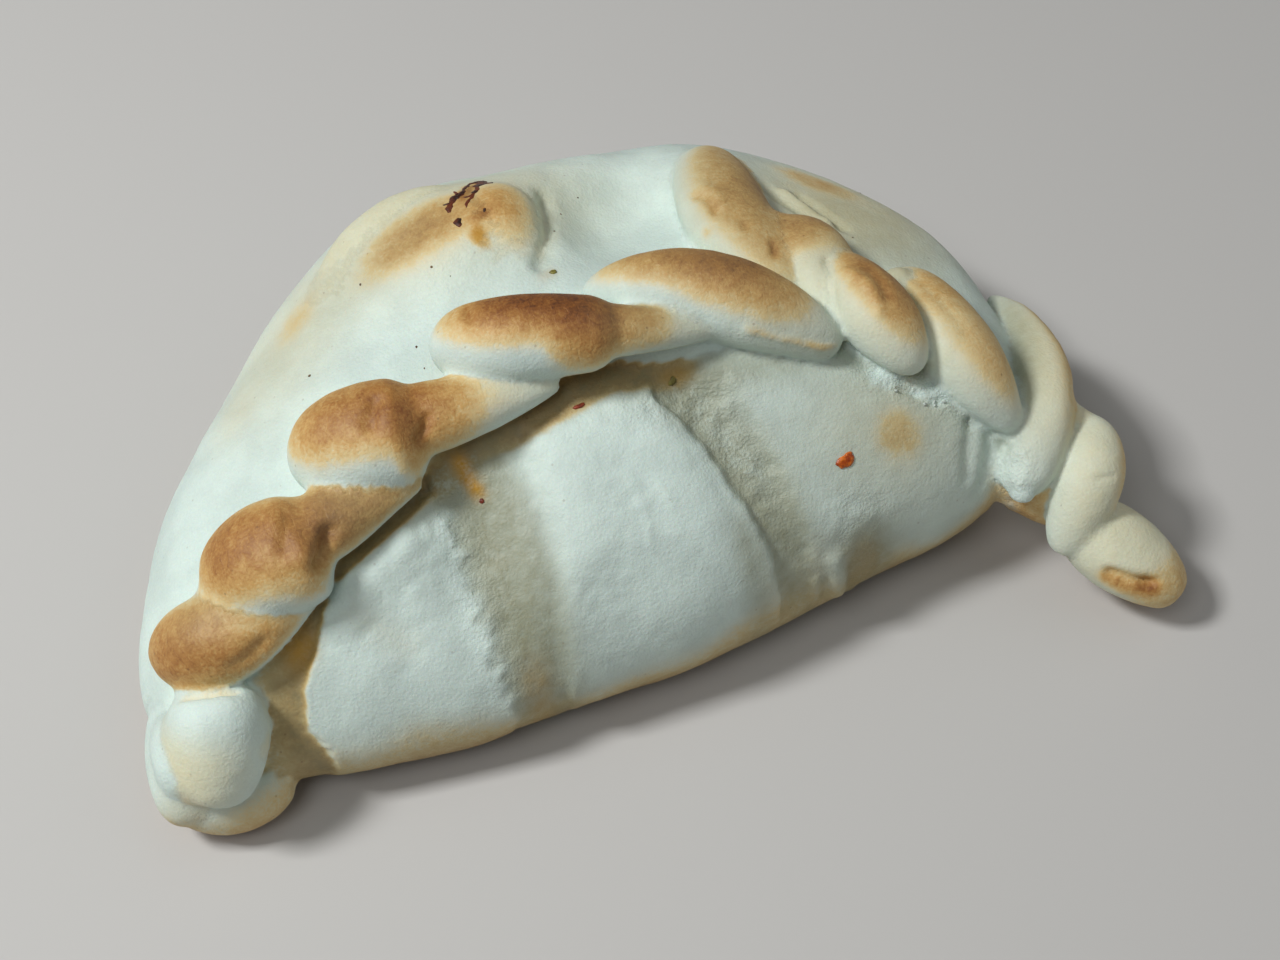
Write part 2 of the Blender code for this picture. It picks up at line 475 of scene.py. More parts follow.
@dataclass(frozen=True)
class Ledge:
    """A torn edge on the pocket: the dough on one side of it is sunk, and rises back further off.

    Side is 1 where the dough towards +X is sunk and -1 for the other way. The tints colour the
    sunk side, each by its strength and its reach. Past its ends the ledge fades out, and each of the
    tatters that fray it is a strength, a feature size and a seed.
    """

    points: tuple[Plan, ...]
    side: int
    drop: float
    reach: float
    sharp: float
    ragged: float
    lip: float = 0.0
    tints: tuple[tuple[Tint, float, float], ...] = ()
    lip_place: float = 1.6
    fade: float = 2.0
    tatters: Layers = ((1.0, 1.5, 31), (0.7, 0.8, 32))

    def away(self, places: Array, normals: Array, line: Array) -> Array:
        """How far each place is from the torn edge, above 0 on the sunk side.

        Args:
            places: Places on the skin.
            normals: The skin's normals there.
            line: The ledge's corners on the skin.

        Returns:
            The distances, in millimetres.
        """
        gap = distance_to_line(places, normals, line)
        edge_x = np.interp(-places[:, 1], -line[:, 1], line[:, 0])
        away = np.sign(places[:, 0] - edge_x) * gap * self.side
        return away + self.ragged * waves(places, self.tatters)

    def sunk(self, places: Array, away: Array, line: Array, reach: float) -> Array:
        """The share of the drop at each place: 1 beside the edge, and 0 by the reach.

        Args:
            places: Places on the skin.
            away: Their distances from the torn edge.
            line: The ledge's corners on the skin.
            reach: How far the sunk side goes.

        Returns:
            The shares, from 0 to 1.
        """
        beyond = np.maximum(line[-1, 1] - places[:, 1], 0) + np.maximum(places[:, 1] - line[0, 1], 0)
        share = smooth_step(-self.sharp, self.sharp, away) * np.exp(-((np.maximum(away, 0) / reach) ** 2))
        return share * np.exp(-((beyond / self.fade) ** 2))

    def push(self, places: Array, normals: Array, line: Array) -> Array:
        """How far the skin moves out at each place.

        Args:
            places: Places on the skin.
            normals: The skin's normals there.
            line: The ledge's corners on the skin.

        Returns:
            The move along the normal, in millimetres.
        """
        away = self.away(places, normals, line)
        inside = self.sharp - np.abs(away + self.lip_place * self.sharp)
        raised = self.sunk(places, inside, line, self.reach)
        return self.lip * raised - self.drop * self.sunk(places, away, line, self.reach)


TOAST_AND_SHADE, CREAM, GREASE_AND_SHADE, CHAR_AND_SHADE, FLAKE, OIL_AND_GLOW = tuple(Tint)
FOLDS = (
    # The toast near the flap's tip is painted shadow: the drum's shadow falling on the flap.
    Fold(
        "end_flap", (-68, -27.5, 6.5), -33, 56, (8, 9.5), (-2.5, 0.5), (10, 11, 9.5),
        blushes=(Blush(TOAST_AND_SHADE, 0.9, 0.3, 60, 60, 0.15),),
    ),
    Fold(
        "fold_1", (-65.5, -25.8, 16), -116, -10, (4.2, 5.5), (-4.5, 6.0), (12, 13, 12),
        roundness=0.4,
        blushes=(
            Blush(CREAM, 0.76, 0.36, 10, 90, 0.85),
            # Painted shade: the toast at the drum's foot darkens the crease above the flap, and the grease
            # and toast on its right side darken where the drum turns away from the light.
            Blush(TOAST_AND_SHADE, 0.98, 0.1, 30, 80, 0.14),
            Blush(GREASE_AND_SHADE, 0.76, 0.34, 60, 34, 0.6),
            Blush(TOAST_AND_SHADE, 0.84, 0.2, 64, 34, 0.3),
        ),
    ),
    Fold(
        "fold_2", (-60.8, -17.3, 24), -12, 35, (9.6, 12.5), (6.5, -3.5), (10.5, 11.4, 3), melt=0.6,
        blushes=(
            Blush(TOAST_AND_SHADE, 0.3, 0.44, 10, 66, 0.6),
            Blush(TOAST_AND_SHADE, 0.62, 0.3, 60, 36, 0.3),
            Blush(GREASE_AND_SHADE, 0.6, 0.3, -30, 46, 0.3),
        ),
    ),
    Fold(
        "fold_3", (-50.4, -12.8, 31), -3, 25, (10.6, 16.8), (6, -2.3), (13, 14, 5.4),
        pinch=0.59, step=0.26, hitch=0.8, melt=1.0,
        blushes=(
            Blush(TOAST_AND_SHADE, 0.4, 0.3, -10, 60, 0.6),
            Blush(TOAST_AND_SHADE, 0.2, 0.14, -24, 46, 0.3),
            Blush(TOAST_AND_SHADE, 0.6, 0.16, 40, 50, 0.3),
            Blush(TOAST_AND_SHADE, 0.8, 0.24, 5, 80, 0.5),
            Blush(GREASE_AND_SHADE, 0.84, 0.24, 0, 100, 0.4),
        ),
    ),
    Fold(
        "fold_4", (-35, -4.4, 36.2), -12, 25, (12, 20.7), (4.8, -0.9), (13.6, 14.1, 6),
        pinch=0.57, step=0.28, hitch=0.75, melt=1.0,
        blushes=(
            Blush(TOAST_AND_SHADE, 0.38, 0.3, -22, 54, 0.68),
            Blush(TOAST_AND_SHADE, 0.64, 0.12, 12, 80, 0.5),
            Blush(TOAST_AND_SHADE, 0.56, 0.05, 20, 60, 0.2),
            Blush(TOAST_AND_SHADE, 0.82, 0.1, 0, 80, 0.12),
            Blush(CREAM, 0.9, 0.2, 0, 70, 0.5),
        ),
    ),
    Fold(
        "fold_5", (-14.8, 0.5, 41.4), -17, 18, (13.5, 21.5), (3.9, 3.4), (11.2, 11.0, 8.0),
        pinch=0.7, pinch_depth=0.03, pinch_length=0.025, step=0.22, hitch=0.2, melt=1.0,
        blushes=(
            Blush(TOAST_AND_SHADE, 0.48, 0.26, -28, 56, 0.74),
            Blush(TOAST_AND_SHADE, 0.52, 0.2, -48, 36, 0.6),
            Blush(TOAST_AND_SHADE, 0.63, 0.1, 8, 74, 0.62),
            Blush(TOAST_AND_SHADE, 0.22, 0.16, -24, 44, 0.3),
            Blush(TOAST_AND_SHADE, 0.78, 0.1, 0, 80, 0.36),
            Blush(GREASE_AND_SHADE, 0.8, 0.14, -20, 90, 0.3),
            Blush(CREAM, 0.9, 0.2, 0, 80, 0.5),
        ),
    ),
    Fold(
        "fold_6", (6.9, 2.0, 39.3), -28, -10, (16, 17.2), (1.7, 5.6), (6.5, 11.5, 8.5), melt=0.8,
        blushes=(
            Blush(TOAST_AND_SHADE, 0.42, 0.3, -36, 52, 0.64),
            Blush(TOAST_AND_SHADE, 0.62, 0.22, -10, 54, 0.44),
            Blush(GREASE_AND_SHADE, 0.5, 0.4, -24, 60, 0.24),
            Blush(CREAM, 0.8, 0.25, 20, 80, 0.3),
            Blush(GREASE_AND_SHADE, 0.9, 0.2, 60, 60, 0.25),
        ),
    ),
    Fold(
        "saddle_back", (16.0, 17.6, 34.0), -92, 23, (16.3, 15.8), (6.0, -0.4), (11.5, 12.5, 10), 0.72,
        roundness=0.36,
        blushes=(
            Blush(TOAST_AND_SHADE, 0.3, 0.34, -26, 72, 0.44),
            Blush(TOAST_AND_SHADE, 0.72, 0.3, -24, 64, 0.36),
            Blush(GREASE_AND_SHADE, 0.55, 0.5, -10, 90, 0.3),
            Blush(CREAM, 0.5, 0.6, 10, 80, 0.55),
        ),
    ),
    Fold(
        "saddle_front", (23.7, 7.5, 33.8), -80, -43, (8, 11), (0.8, -0.4), (8.5, 11, 8.5),
        blushes=(
            Blush(TOAST_AND_SHADE, 0.28, 0.34, -10, 90, 0.54),
            Blush(GREASE_AND_SHADE, 0.4, 0.5, 0, 100, 0.28),
            Blush(CREAM, 0.7, 0.4, 30, 80, 0.7),
        ),
    ),
    Fold(
        "fold_7", (27.1, -4.0, 35.5), -75, 19, (12.5, 8.8), (3.6, 4.2), (7, 10.3, 6.8),
        blushes=(
            Blush(TOAST_AND_SHADE, 0.46, 0.38, -16, 54, 0.56),
            Blush(GREASE_AND_SHADE, 0.46, 0.4, -10, 60, 0.16),
            Blush(CREAM, 0.5, 0.5, 20, 80, 0.7),
        ),
    ),
    Fold(
        "fold_8", (37.3, -9.6, 30), -74, 23, (14.3, 10.7), (1.5, 7.0), (8.5, 10.5, 7), roundness=0.48,
        blushes=(
            Blush(TOAST_AND_SHADE, 0.56, 0.34, -8, 54, 0.32),
            Blush(TOAST_AND_SHADE, 0.2, 0.16, 0, 60, 0.34),
            Blush(CREAM, 0.4, 0.5, 0, 90, 0.8),
            Blush(GREASE_AND_SHADE, 0.3, 0.4, 10, 90, 0.14),
        ),
    ),
    Fold(
        "fold_9", (49.2, -12.6, 21.6), -112, -27, (20.8, 14.7), (6.6, 5), (4.4, 7.6, 10.5), 1.15,
        melt=0.8,
        blushes=(
            Blush(TOAST_AND_SHADE, 0.32, 0.4, -46, 60, 0.38),
            Blush(CREAM, 0.45, 0.42, -10, 100, 0.9),
            Blush(GREASE_AND_SHADE, 0.4, 0.4, 70, 36, 0.6),
        ),
    ),
    Fold(
        "fold_10", (51.2, -25.7, 17.8), -124, -20, (7.8, 8.7), (0.4, 7.8), (5, 9, 8), 1.0, melt=0.6,
        blushes=(
            Blush(CREAM, 0.5, 0.6, 0, 120, 0.75),
            Blush(TOAST_AND_SHADE, 0.35, 0.4, -56, 54, 0.3),
        ),
    ),
    Fold(
        "tail", (53.5, -34.5, 9), -50, 0, (8.5, 8.3), (-3, 3.2), (11, 12, 9), roundness=0.44,
        blushes=(
            Blush(CREAM, 0.4, 0.6, 0, 180, 0.8),
            Blush(TOAST_AND_SHADE, 0.98, 0.3, 20, 140, 0.34),
        ),
    ),
    Fold("join", (44.5, -17.5, 16), -50, -27, (9.5, 11.5), (-6, 6), (12.5, 15, 11), 1.0),
    Fold(
        "end_fill", (-70.6, -24.5, 8.5), -95, 0, (9, 7), (-1.5, 1.5), (10, 10, 9), roundness=0.6,
    ),
    Fold(
        "back_ridge", (-28.2, 31.8, 28.8), 19, -44, (15.7, 15.7), (6.2, -2.3), (9, 11.6, 10.5),
        melt=1.0, roundness=0.6,
        blushes=(Blush(CREAM, 0.4, 0.7, 0, 180, 0.5),),
    ),
    Fold(
        "nose", (-13.8, 25, 32.8), -95, -14, (8, 9.5), (1.6, 1.6), (10.5, 12.5, 7.5),
        roundness=0.5,
        blushes=(Blush(CREAM, 0.5, 0.7, 0, 120, 0.6),),
    ),
    Fold("rope_fill", (-4, 1, 35.6), -12, 0, (14, 13), (0.5, 0.5), (6, 7, 6), roundness=0.55),
)

LUMPS = (
    Lump("drum_bump", (-61.3, -28.6, 16.2), (1.5, 2.0, 1.8), -20),
    Lump("fold_10_back", (51.9, -18.6, 18.4), (2.6, 4.4, 3.0), 25),
    Lump("fold_8_head", (33.8, 1.6, 31.0), (2.6, 2.4, 2.8), 20),
    Lump("drum_fill", (-71.5, -25.0, 13.6), (2.4, 5.6, 3.8), -4),
    Lump("torn_tip", (41.6, -24.2, 18.0), (2.0, 3.4, 2.0), -10),
    Lump("seam_roll_1", (26.2, -11.0, 29.8), (2.6, 1.5, 1.2), -10),
    Lump("seam_roll_2", (31.6, -13.4, 27.6), (3.4, 1.4, 1.2), -20),
)


HULL = ("pocket", "back_ridge", "nose", "end_fill")
FRONT = ("pocket", "join")


@dataclass(frozen=True)
class Patch:
    """A soft patch of a tint on some parts of the dough, placed in plan."""

    tint: Tint
    at: Plan
    size: Plan
    turn: float
    strength: float
    on: tuple[str, ...] = HULL
    edge: float = 1.3


@dataclass(frozen=True)
class Mark:
    """A line or point pressed into the dough, or raised where its depth is negative.

    Its points are in plan, or have a height too where the skin is steep.
    """

    on: tuple[str, ...]
    points: tuple[tuple[float, ...], ...]
    width: float
    depth: float
    tint: Tint | None = None
    strength: float = 0.0


PATCHES = (
    Patch(TOAST_AND_SHADE, (-25.4, 26.8), (7.8, 3.9), 14, 0.4),
    # The toast below is the trough's real browning. This grease darkens it further to olive as painted
    # shade, where the flank faces away from the light.
    Patch(GREASE_AND_SHADE, (-26, 26.6), (9, 4.4), 14, 0.34),
    Patch(TOAST_AND_SHADE, (-18.5, 27.0), (6.0, 4.2), 0, 0.3),
    Patch(GREASE_AND_SHADE, (-38, 24.5), (9, 6), 42, 0.2),
    Patch(TOAST_AND_SHADE, (-12.5, 25.5), (3.8, 6), 0, 0.36),
    Patch(TOAST_AND_SHADE, (-24, 23), (6, 4), 0, 0.12),
    Patch(CREAM, (-20, 30), (20, 11), 5, 0.75),
    Patch(CREAM, (-45, 22), (9, 14), -30, 0.45),
    Patch(CREAM, (-66, -28), (9, 6), 0, 0.25),
    Patch(TOAST_AND_SHADE, (-66, -30), (10, 6), 0, 0.06),
    # The toast under folds 9 and 10 is partly the baked underside and partly a painted warm glow in their
    # shade.
    Patch(TOAST_AND_SHADE, (42, -25.5), (4.4, 4.4), -40, 0.42, ("join", "pocket")),
    Patch(TOAST_AND_SHADE, (-42, 25.5), (5, 3), 50, 0.2),
    Patch(TOAST_AND_SHADE, (-53, 15), (7, 4), 60, 0.1),
    Patch(GREASE_AND_SHADE, (-50, 18), (8, 5), 55, 0.15),
    Patch(TOAST_AND_SHADE, (-17.1, 22.1), (0.9, 1.5), -8, 0.5, edge=4),
    Patch(OIL_AND_GLOW, (-17.1, 22.1), (0.9, 1.5), -8, 0.7, edge=4),
    Patch(OIL_AND_GLOW, (-10, 14.8), (1.4, 0.9), 20, 0.35),
    Patch(TOAST_AND_SHADE, (33, 26.5), (6.5, 3), -50, 0.36),
    Patch(CREAM, (34, 20), (15, 13), -50, 0.9),
    Patch(GREASE_AND_SHADE, (33, 14), (13, 9), -55, 0.42),
    Patch(TOAST_AND_SHADE, (26, -18), (3.4, 3.0), 0, 0.3),
    Patch(CREAM, (26, -17), (10, 7), 0, 0.35),
    Patch(GREASE_AND_SHADE, (25, -15.5), (18, 9), 0, 0.36, FRONT),
    Patch(GREASE_AND_SHADE, (19.4, -26.8), (4.5, 2.2), 4, 1.0),
    Patch(OIL_AND_GLOW, (19.2, -26.8), (3, 1.2), 4, 0.26),
    Patch(TOAST_AND_SHADE, (8, -29), (9, 3), 25, 0.12),
    Patch(GREASE_AND_SHADE, (-25.8, -20), (5.2, 17), 4, 0.7, edge=2.4),
    Patch(GREASE_AND_SHADE, (3.4, -26.5), (2.6, 5), 8, 0.6),
    Patch(GREASE_AND_SHADE, (6.4, -17), (3.4, 14), 22, 0.6, edge=2.0),
    Patch(GREASE_AND_SHADE, (8, -6), (18, 3.4), -4, 0.6),
    Patch(GREASE_AND_SHADE, (0.5, -9), (3.5, 3), 0, 0.6),
    Patch(OIL_AND_GLOW, (-28.1, -8.9), (0.8, 2.4), 12, 1.2, edge=2.0),
    Patch(OIL_AND_GLOW, (0.4, -4.8), (2.4, 1.2), 0, 0.5),
    Patch(OIL_AND_GLOW, (-26.5, -31), (2, 2.5), 0, 0.3),
    # Painted shadow: a dark band of grease and toast on the front just under folds 4 and 5, where the rope
    # casts its shadow.
    Patch(GREASE_AND_SHADE, (-33, -9.2), (14, 2.6), 17, 0.8),
    Patch(TOAST_AND_SHADE, (-33, -8.4), (14, 2.0), 17, 0.5),
    Patch(TOAST_AND_SHADE, (-17, -4.8), (10, 2.6), 8, 0.6, edge=2.6),
    Patch(GREASE_AND_SHADE, (-17, -4.8), (10, 2.8), 8, 0.75, edge=2.6),
    Patch(TOAST_AND_SHADE, (-5, -3.4), (8, 2.4), -6, 0.6, edge=2.6),
    Patch(GREASE_AND_SHADE, (-5, -3.6), (9, 2.8), -6, 0.75, edge=2.6),
    # Painted glow: orange in the shaded recess stands for light coming through the dough.
    Patch(OIL_AND_GLOW, (-53.2, -20.6), (2.2, 2.4), -36, 0.75),
    Patch(FLAKE, (-30.6, -20), (2.8, 15), 4, 0.7),
    Patch(FLAKE, (4.6, -14), (3.4, 10), 26, 1.1),
    Patch(GREASE_AND_SHADE, (3.6, -15.4), (2.6, 4.0), 24, 0.4),
    Patch(FLAKE, (0, -8.5), (9, 3), -5, 0.8),
    Patch(FLAKE, (-29, -9), (6, 2.4), 17, 0.8),
    Patch(FLAKE, (31, -13.0), (9, 2.4), -24, 1.3, (*FRONT, "seam_roll_1", "seam_roll_2")),
    Patch(FLAKE, (18.5, -25), (4, 3), 0, 0.6),
    Patch(FLAKE, (40.6, -24), (1.8, 3.8), 0, 1.1, ("fold_9", "torn_tip", "join", "pocket")),
    Patch(CREAM, (34.6, 2.2), (3.4, 3.4), 0, 0.9, ("fold_8_head",)),
    Patch(GREASE_AND_SHADE, (34.6, 2.2), (3.4, 3.4), 0, 0.4, ("fold_8_head",)),
    Patch(CREAM, (-60.4, -28), (3, 4), 0, 0.6, ("drum_bump",)),
    Patch(CREAM, (52, -18.6), (6, 6), 0, 0.8, ("fold_10_back",)),
    Patch(TOAST_AND_SHADE, (53, -18.6), (4, 5), 0, 0.1, ("fold_10_back",)),
)

LEDGES = (
    Ledge(
        ((-31.8, -8.5), (-31.2, -14), (-31.0, -20), (-30.6, -26), (-30.0, -32)),
        1, 0.4, 9.0, 0.9, 1.0, 0.1, ((GREASE_AND_SHADE, 0.62, 8.0),),
    ),
    Ledge(
        ((-20.2, -8), (-19.2, -15), (-20.0, -21), (-21.6, -27), (-22.6, -33)), -1, 0.8, 6.0, 1.7, 0.3,
    ),
    Ledge(
        ((-3, -7), (0.8, -12.5), (3, -18.5), (5.4, -24), (6.8, -30)), 1, 0.95, 5.5, 0.7, 0.35,
        0.1, ((GREASE_AND_SHADE, 0.7, 6.0),),
    ),
    Ledge(((6.5, -8), (8.6, -14), (9.6, -20), (11.5, -26)), -1, 0.6, 4.5, 1.2, 0.4),
    # This ledge sinks the recess beside folds 1 to 3. The toast and grease on its sunk side are painted
    # shadow of those folds on the front.
    Ledge(
        (
            (-32.5, -9.5), (-37.5, -12.6), (-42.5, -14.6), (-46.8, -16), (-49.4, -18.5),
            (-51.6, -22), (-54.0, -24.6), (-55.0, -27.6), (-52.6, -31),
        ), -1, 0.9, 6.0, 0.3, 0.15,
        0.2, ((TOAST_AND_SHADE, 0.5, 5.5), (GREASE_AND_SHADE, 0.8, 7.0)),
    ),
)

MARKS = (
    Mark(HULL, ((-35, 23.5), (-28, 26), (-20.5, 26.6)), 3.2, 0.7),
    Mark(("pocket",), ((-5.6, 30), (-7.0, 23), (-10.4, 16.8)), 1.3, 1.0, GREASE_AND_SHADE, 0.35),
    Mark(HULL, ((-17.1, 24.6), (-16.3, 24.9), (-15.1, 25.2)), 0.5, 0.0, TOAST_AND_SHADE, 0.6),
    Mark(HULL, ((-17.2, 29.6), (-15.6, 31.8), (-14.2, 34.0)), 0.7, 0.0, TOAST_AND_SHADE, 0.7),
    Mark(("fold_4",), ((-37, -3), (-38.3, -6)), 1.1, 0.7, TOAST_AND_SHADE, 0.1),
    Mark(("fold_4",), ((-31.5, -5.9), (-32, -7.2), (-32.9, -8.2)), 0.5, 0.9, TOAST_AND_SHADE, 0.35),
    Mark(("fold_4",), ((-45.5, -4.4), (-44.9, -5.2)), 0.5, -0.1, TOAST_AND_SHADE, 0.2),
    Mark(("fold_3",), ((-46.4, -14.4), (-47.4, -16.4), (-48.4, -17.4)), 0.8, 1.0, TOAST_AND_SHADE, 0.2),
    Mark(("fold_3",), ((-47.6, -13.3), (-49.4, -17.2)), 1.4, -0.5),
    Mark(("fold_3",), ((-50.2, -11.8), (-51.8, -16.0)), 1.1, 0.55),
    # The toast in this groove is painted shade on the fold's shadowed lower side.
    Mark(("fold_2",), ((-57.0, -22.0), (-58.8, -23.4), (-60.6, -24.2)), 1.1, 0.6, TOAST_AND_SHADE, 0.2),
    Mark(
        ("fold_1", "fold_2"), ((-68.0, -22.4), (-66.0, -23.2), (-64.0, -23.7), (-61.6, -24.0)), 0.45, 0.8,
        TOAST_AND_SHADE, 0.2,
    ),
    Mark(("fold_5",), ((-23, 5.5), (-23.4, 3)), 0.5, 0.4, TOAST_AND_SHADE, 0.2),
    Mark(
        ("saddle_back",), ((11.8, 20.2), (12.8, 18.8), (13.2, 17.1), (13.0, 15.6)), 0.5, 0.5,
        TOAST_AND_SHADE, 0.25,
    ),
    Mark(("saddle_back",), ((13.4, 21.1), (14.5, 18.6), (14.4, 16.1)), 0.7, -0.3),
    Mark(("saddle_back",), ((15.8, 12), (15.7, 11.3)), 0.35, 0.3, TOAST_AND_SHADE, 0.5),
    Mark(("saddle_back",), ((10.9, 13.4),), 0.6, 0.2, TOAST_AND_SHADE, 0.25),
    Mark(("saddle_front", "saddle_back"), ((18.4, 8.2), (17.8, 6.2)), 0.4, 0.5, TOAST_AND_SHADE, 0.7),
    # The char in this thin crack and at its top is painted shade, not scorching.
    Mark(("saddle_front",), ((23.7, 3.2),), 0.5, 0.5, CHAR_AND_SHADE, 0.35),
    Mark(("saddle_front", "fold_7"), ((23.7, 2.8), (23.0, -0.4), (21.6, -5)), 0.3, 0.5, CHAR_AND_SHADE, 0.35),
    Mark(("fold_7",), ((25.0, 0.0), (26.3, -2.8), (26.8, -5.4), (26.3, -8)), 0.6, -0.4, CREAM, 0.6),
    Mark(("fold_7",), ((27.6, -0.4), (28.2, -3.4), (28.2, -6.0)), 0.8, 0.35, TOAST_AND_SHADE, 0.15),
    Mark(("fold_8",), ((35.4, 1), (36.4, -5), (37.4, -11)), 0.8, 0.25),
    Mark(("fold_10",), ((44.9, -29.2),), 0.35, 0.2, CHAR_AND_SHADE, 0.7),
    Mark(("fold_10",), ((49.8, -29.1), (52.2, -29.4)), 0.4, 0.3),
    Mark(("tail",), ((49.0, -38.0), (51.2, -39.6), (53.6, -40.6)), 2.1, -0.3, TOAST_AND_SHADE, 0.16),
    Mark(("tail",), ((48.8, -38.2), (51.2, -39.9), (53.6, -41.0)), 1.0, 1.1, TOAST_AND_SHADE, 0.5),
    Mark(("tail",), ((52.6, -40.5), (54.4, -41.0)), 0.55, 0.5, TOAST_AND_SHADE, 0.8),
    Mark(("pocket",), ((11.6, -27.2, 13.5), (11.6, -27.6, 10.5)), 0.8, -0.8),
    Mark(("pocket",), ((13.1, -27.4, 13.5), (13.2, -27.6, 9.5)), 0.5, 0.6, GREASE_AND_SHADE, 0.4),
    Mark(("pocket",), ((14.6, -27.0, 16.0), (14.9, -27.5, 12.5), (15.4, -27.5, 9.0)), 1.4, -0.9),
    Mark(("pocket",), ((16.8, -26.8, 13.5), (17.2, -27.0, 10.0)), 0.7, 0.5, GREASE_AND_SHADE, 0.5),
    Mark(("pocket",), ((-15.5, -10), (-15.8, -16), (-16.6, -22)), 4.5, -0.7),
    Mark(FRONT, ((-28.6, -7.2), (-28.0, -9.4), (-27.4, -11.2)), 0.7, -0.1, OIL_AND_GLOW, 1.2),
    Mark(FRONT, ((-38, -14.5), (-43, -17), (-47, -20)), 3.0, -1.0),
    Mark(("pocket",), ((24, 24), (28, 17)), 0.9, 0.7, GREASE_AND_SHADE, 0.3),
    Mark(("pocket",), ((28.5, 22), (31.5, 14)), 0.8, 0.7, GREASE_AND_SHADE, 0.3),
    Mark(("pocket",), ((26.3, 23), (29.8, 15.5)), 0.8, -0.6, CREAM, 0.5),
    Mark(("pocket", "join"), ((37.0, -17.6),), 0.7, 1.6, GREASE_AND_SHADE, 0.5),
    Mark(("pocket", "join", "fold_9"), ((40.2, -19.0), (40.0, -21.0)), 0.6, 1.2, GREASE_AND_SHADE, 0.4),
    Mark(("pocket", "join"), ((28.0, -13.4), (30.0, -14.2)), 0.5, 0.8, GREASE_AND_SHADE, 0.4),
    Mark(("pocket", "join"), ((25.4, -11.8),), 0.5, 0.8, GREASE_AND_SHADE, 0.4),
    Mark(FRONT, ((37, -17.5), (35.5, -20), (34.5, -23)), 1.0, 0.5),
    Mark(FRONT, ((39.5, -19.5), (37.8, -22), (36.5, -25)), 1.0, 0.5),
    Mark(FRONT, ((-9.5, -16), (-8.7, -20), (-9.2, -24)), 0.6, -0.2),
    Mark(FRONT, ((-6.0, -18), (-5.2, -20.5)), 0.5, -0.2),
    Mark(FRONT, ((-45, -21), (-41, -24)), 3.0, 0.5, TOAST_AND_SHADE, 0.08),
    Mark(
        ("fold_6",), ((9.5, -6.4), (12.5, -8.0), (15.5, -8.8), (19, -9.4), (21.0, -9.4)), 0.6, -0.7,
        TOAST_AND_SHADE, 0.4,
    ),
    Mark(
        ("fold_6",), ((9.5, -6.8), (12.5, -8.4), (15.5, -9.2), (19, -9.8), (21.0, -9.8)), 0.5, 0,
        OIL_AND_GLOW, 0.5,
    ),
)


@dataclass(frozen=True)
class Survey:
    """What is where on the dough: each vertex's place, normal, and nearest skin, ring and point."""

    places: Array
    normals: Array
    found: Array
    names: tuple[str, ...]

    def on(self, parts: Sequence[str]) -> Array:
        """Which places lie on the named parts."""
        return np.isin(self.found[:, 0], [self.names.index(name) for name in parts])

    def snapped(self, line: Sequence[tuple[float, ...]], own: Array, slack: float) -> Array:
        """A line's points with the height of the dough under them, where they have none.

        Args:
            line: Points in plan, some with a height.
            own: Which places count.
            slack: How far beside a point the highest place is looked for.

        Returns:
            The points, one to a row.
        """
        mine = np.flatnonzero(own)
        points = []
        for x, y, *height in line:
            gap = np.hypot(self.places[mine, 0] - x, self.places[mine, 1] - y)
            near = mine[gap < gap.min() + slack]
            points.append((x, y, *(height or (self.places[near, 2].max(),))))
        return np.array(points)


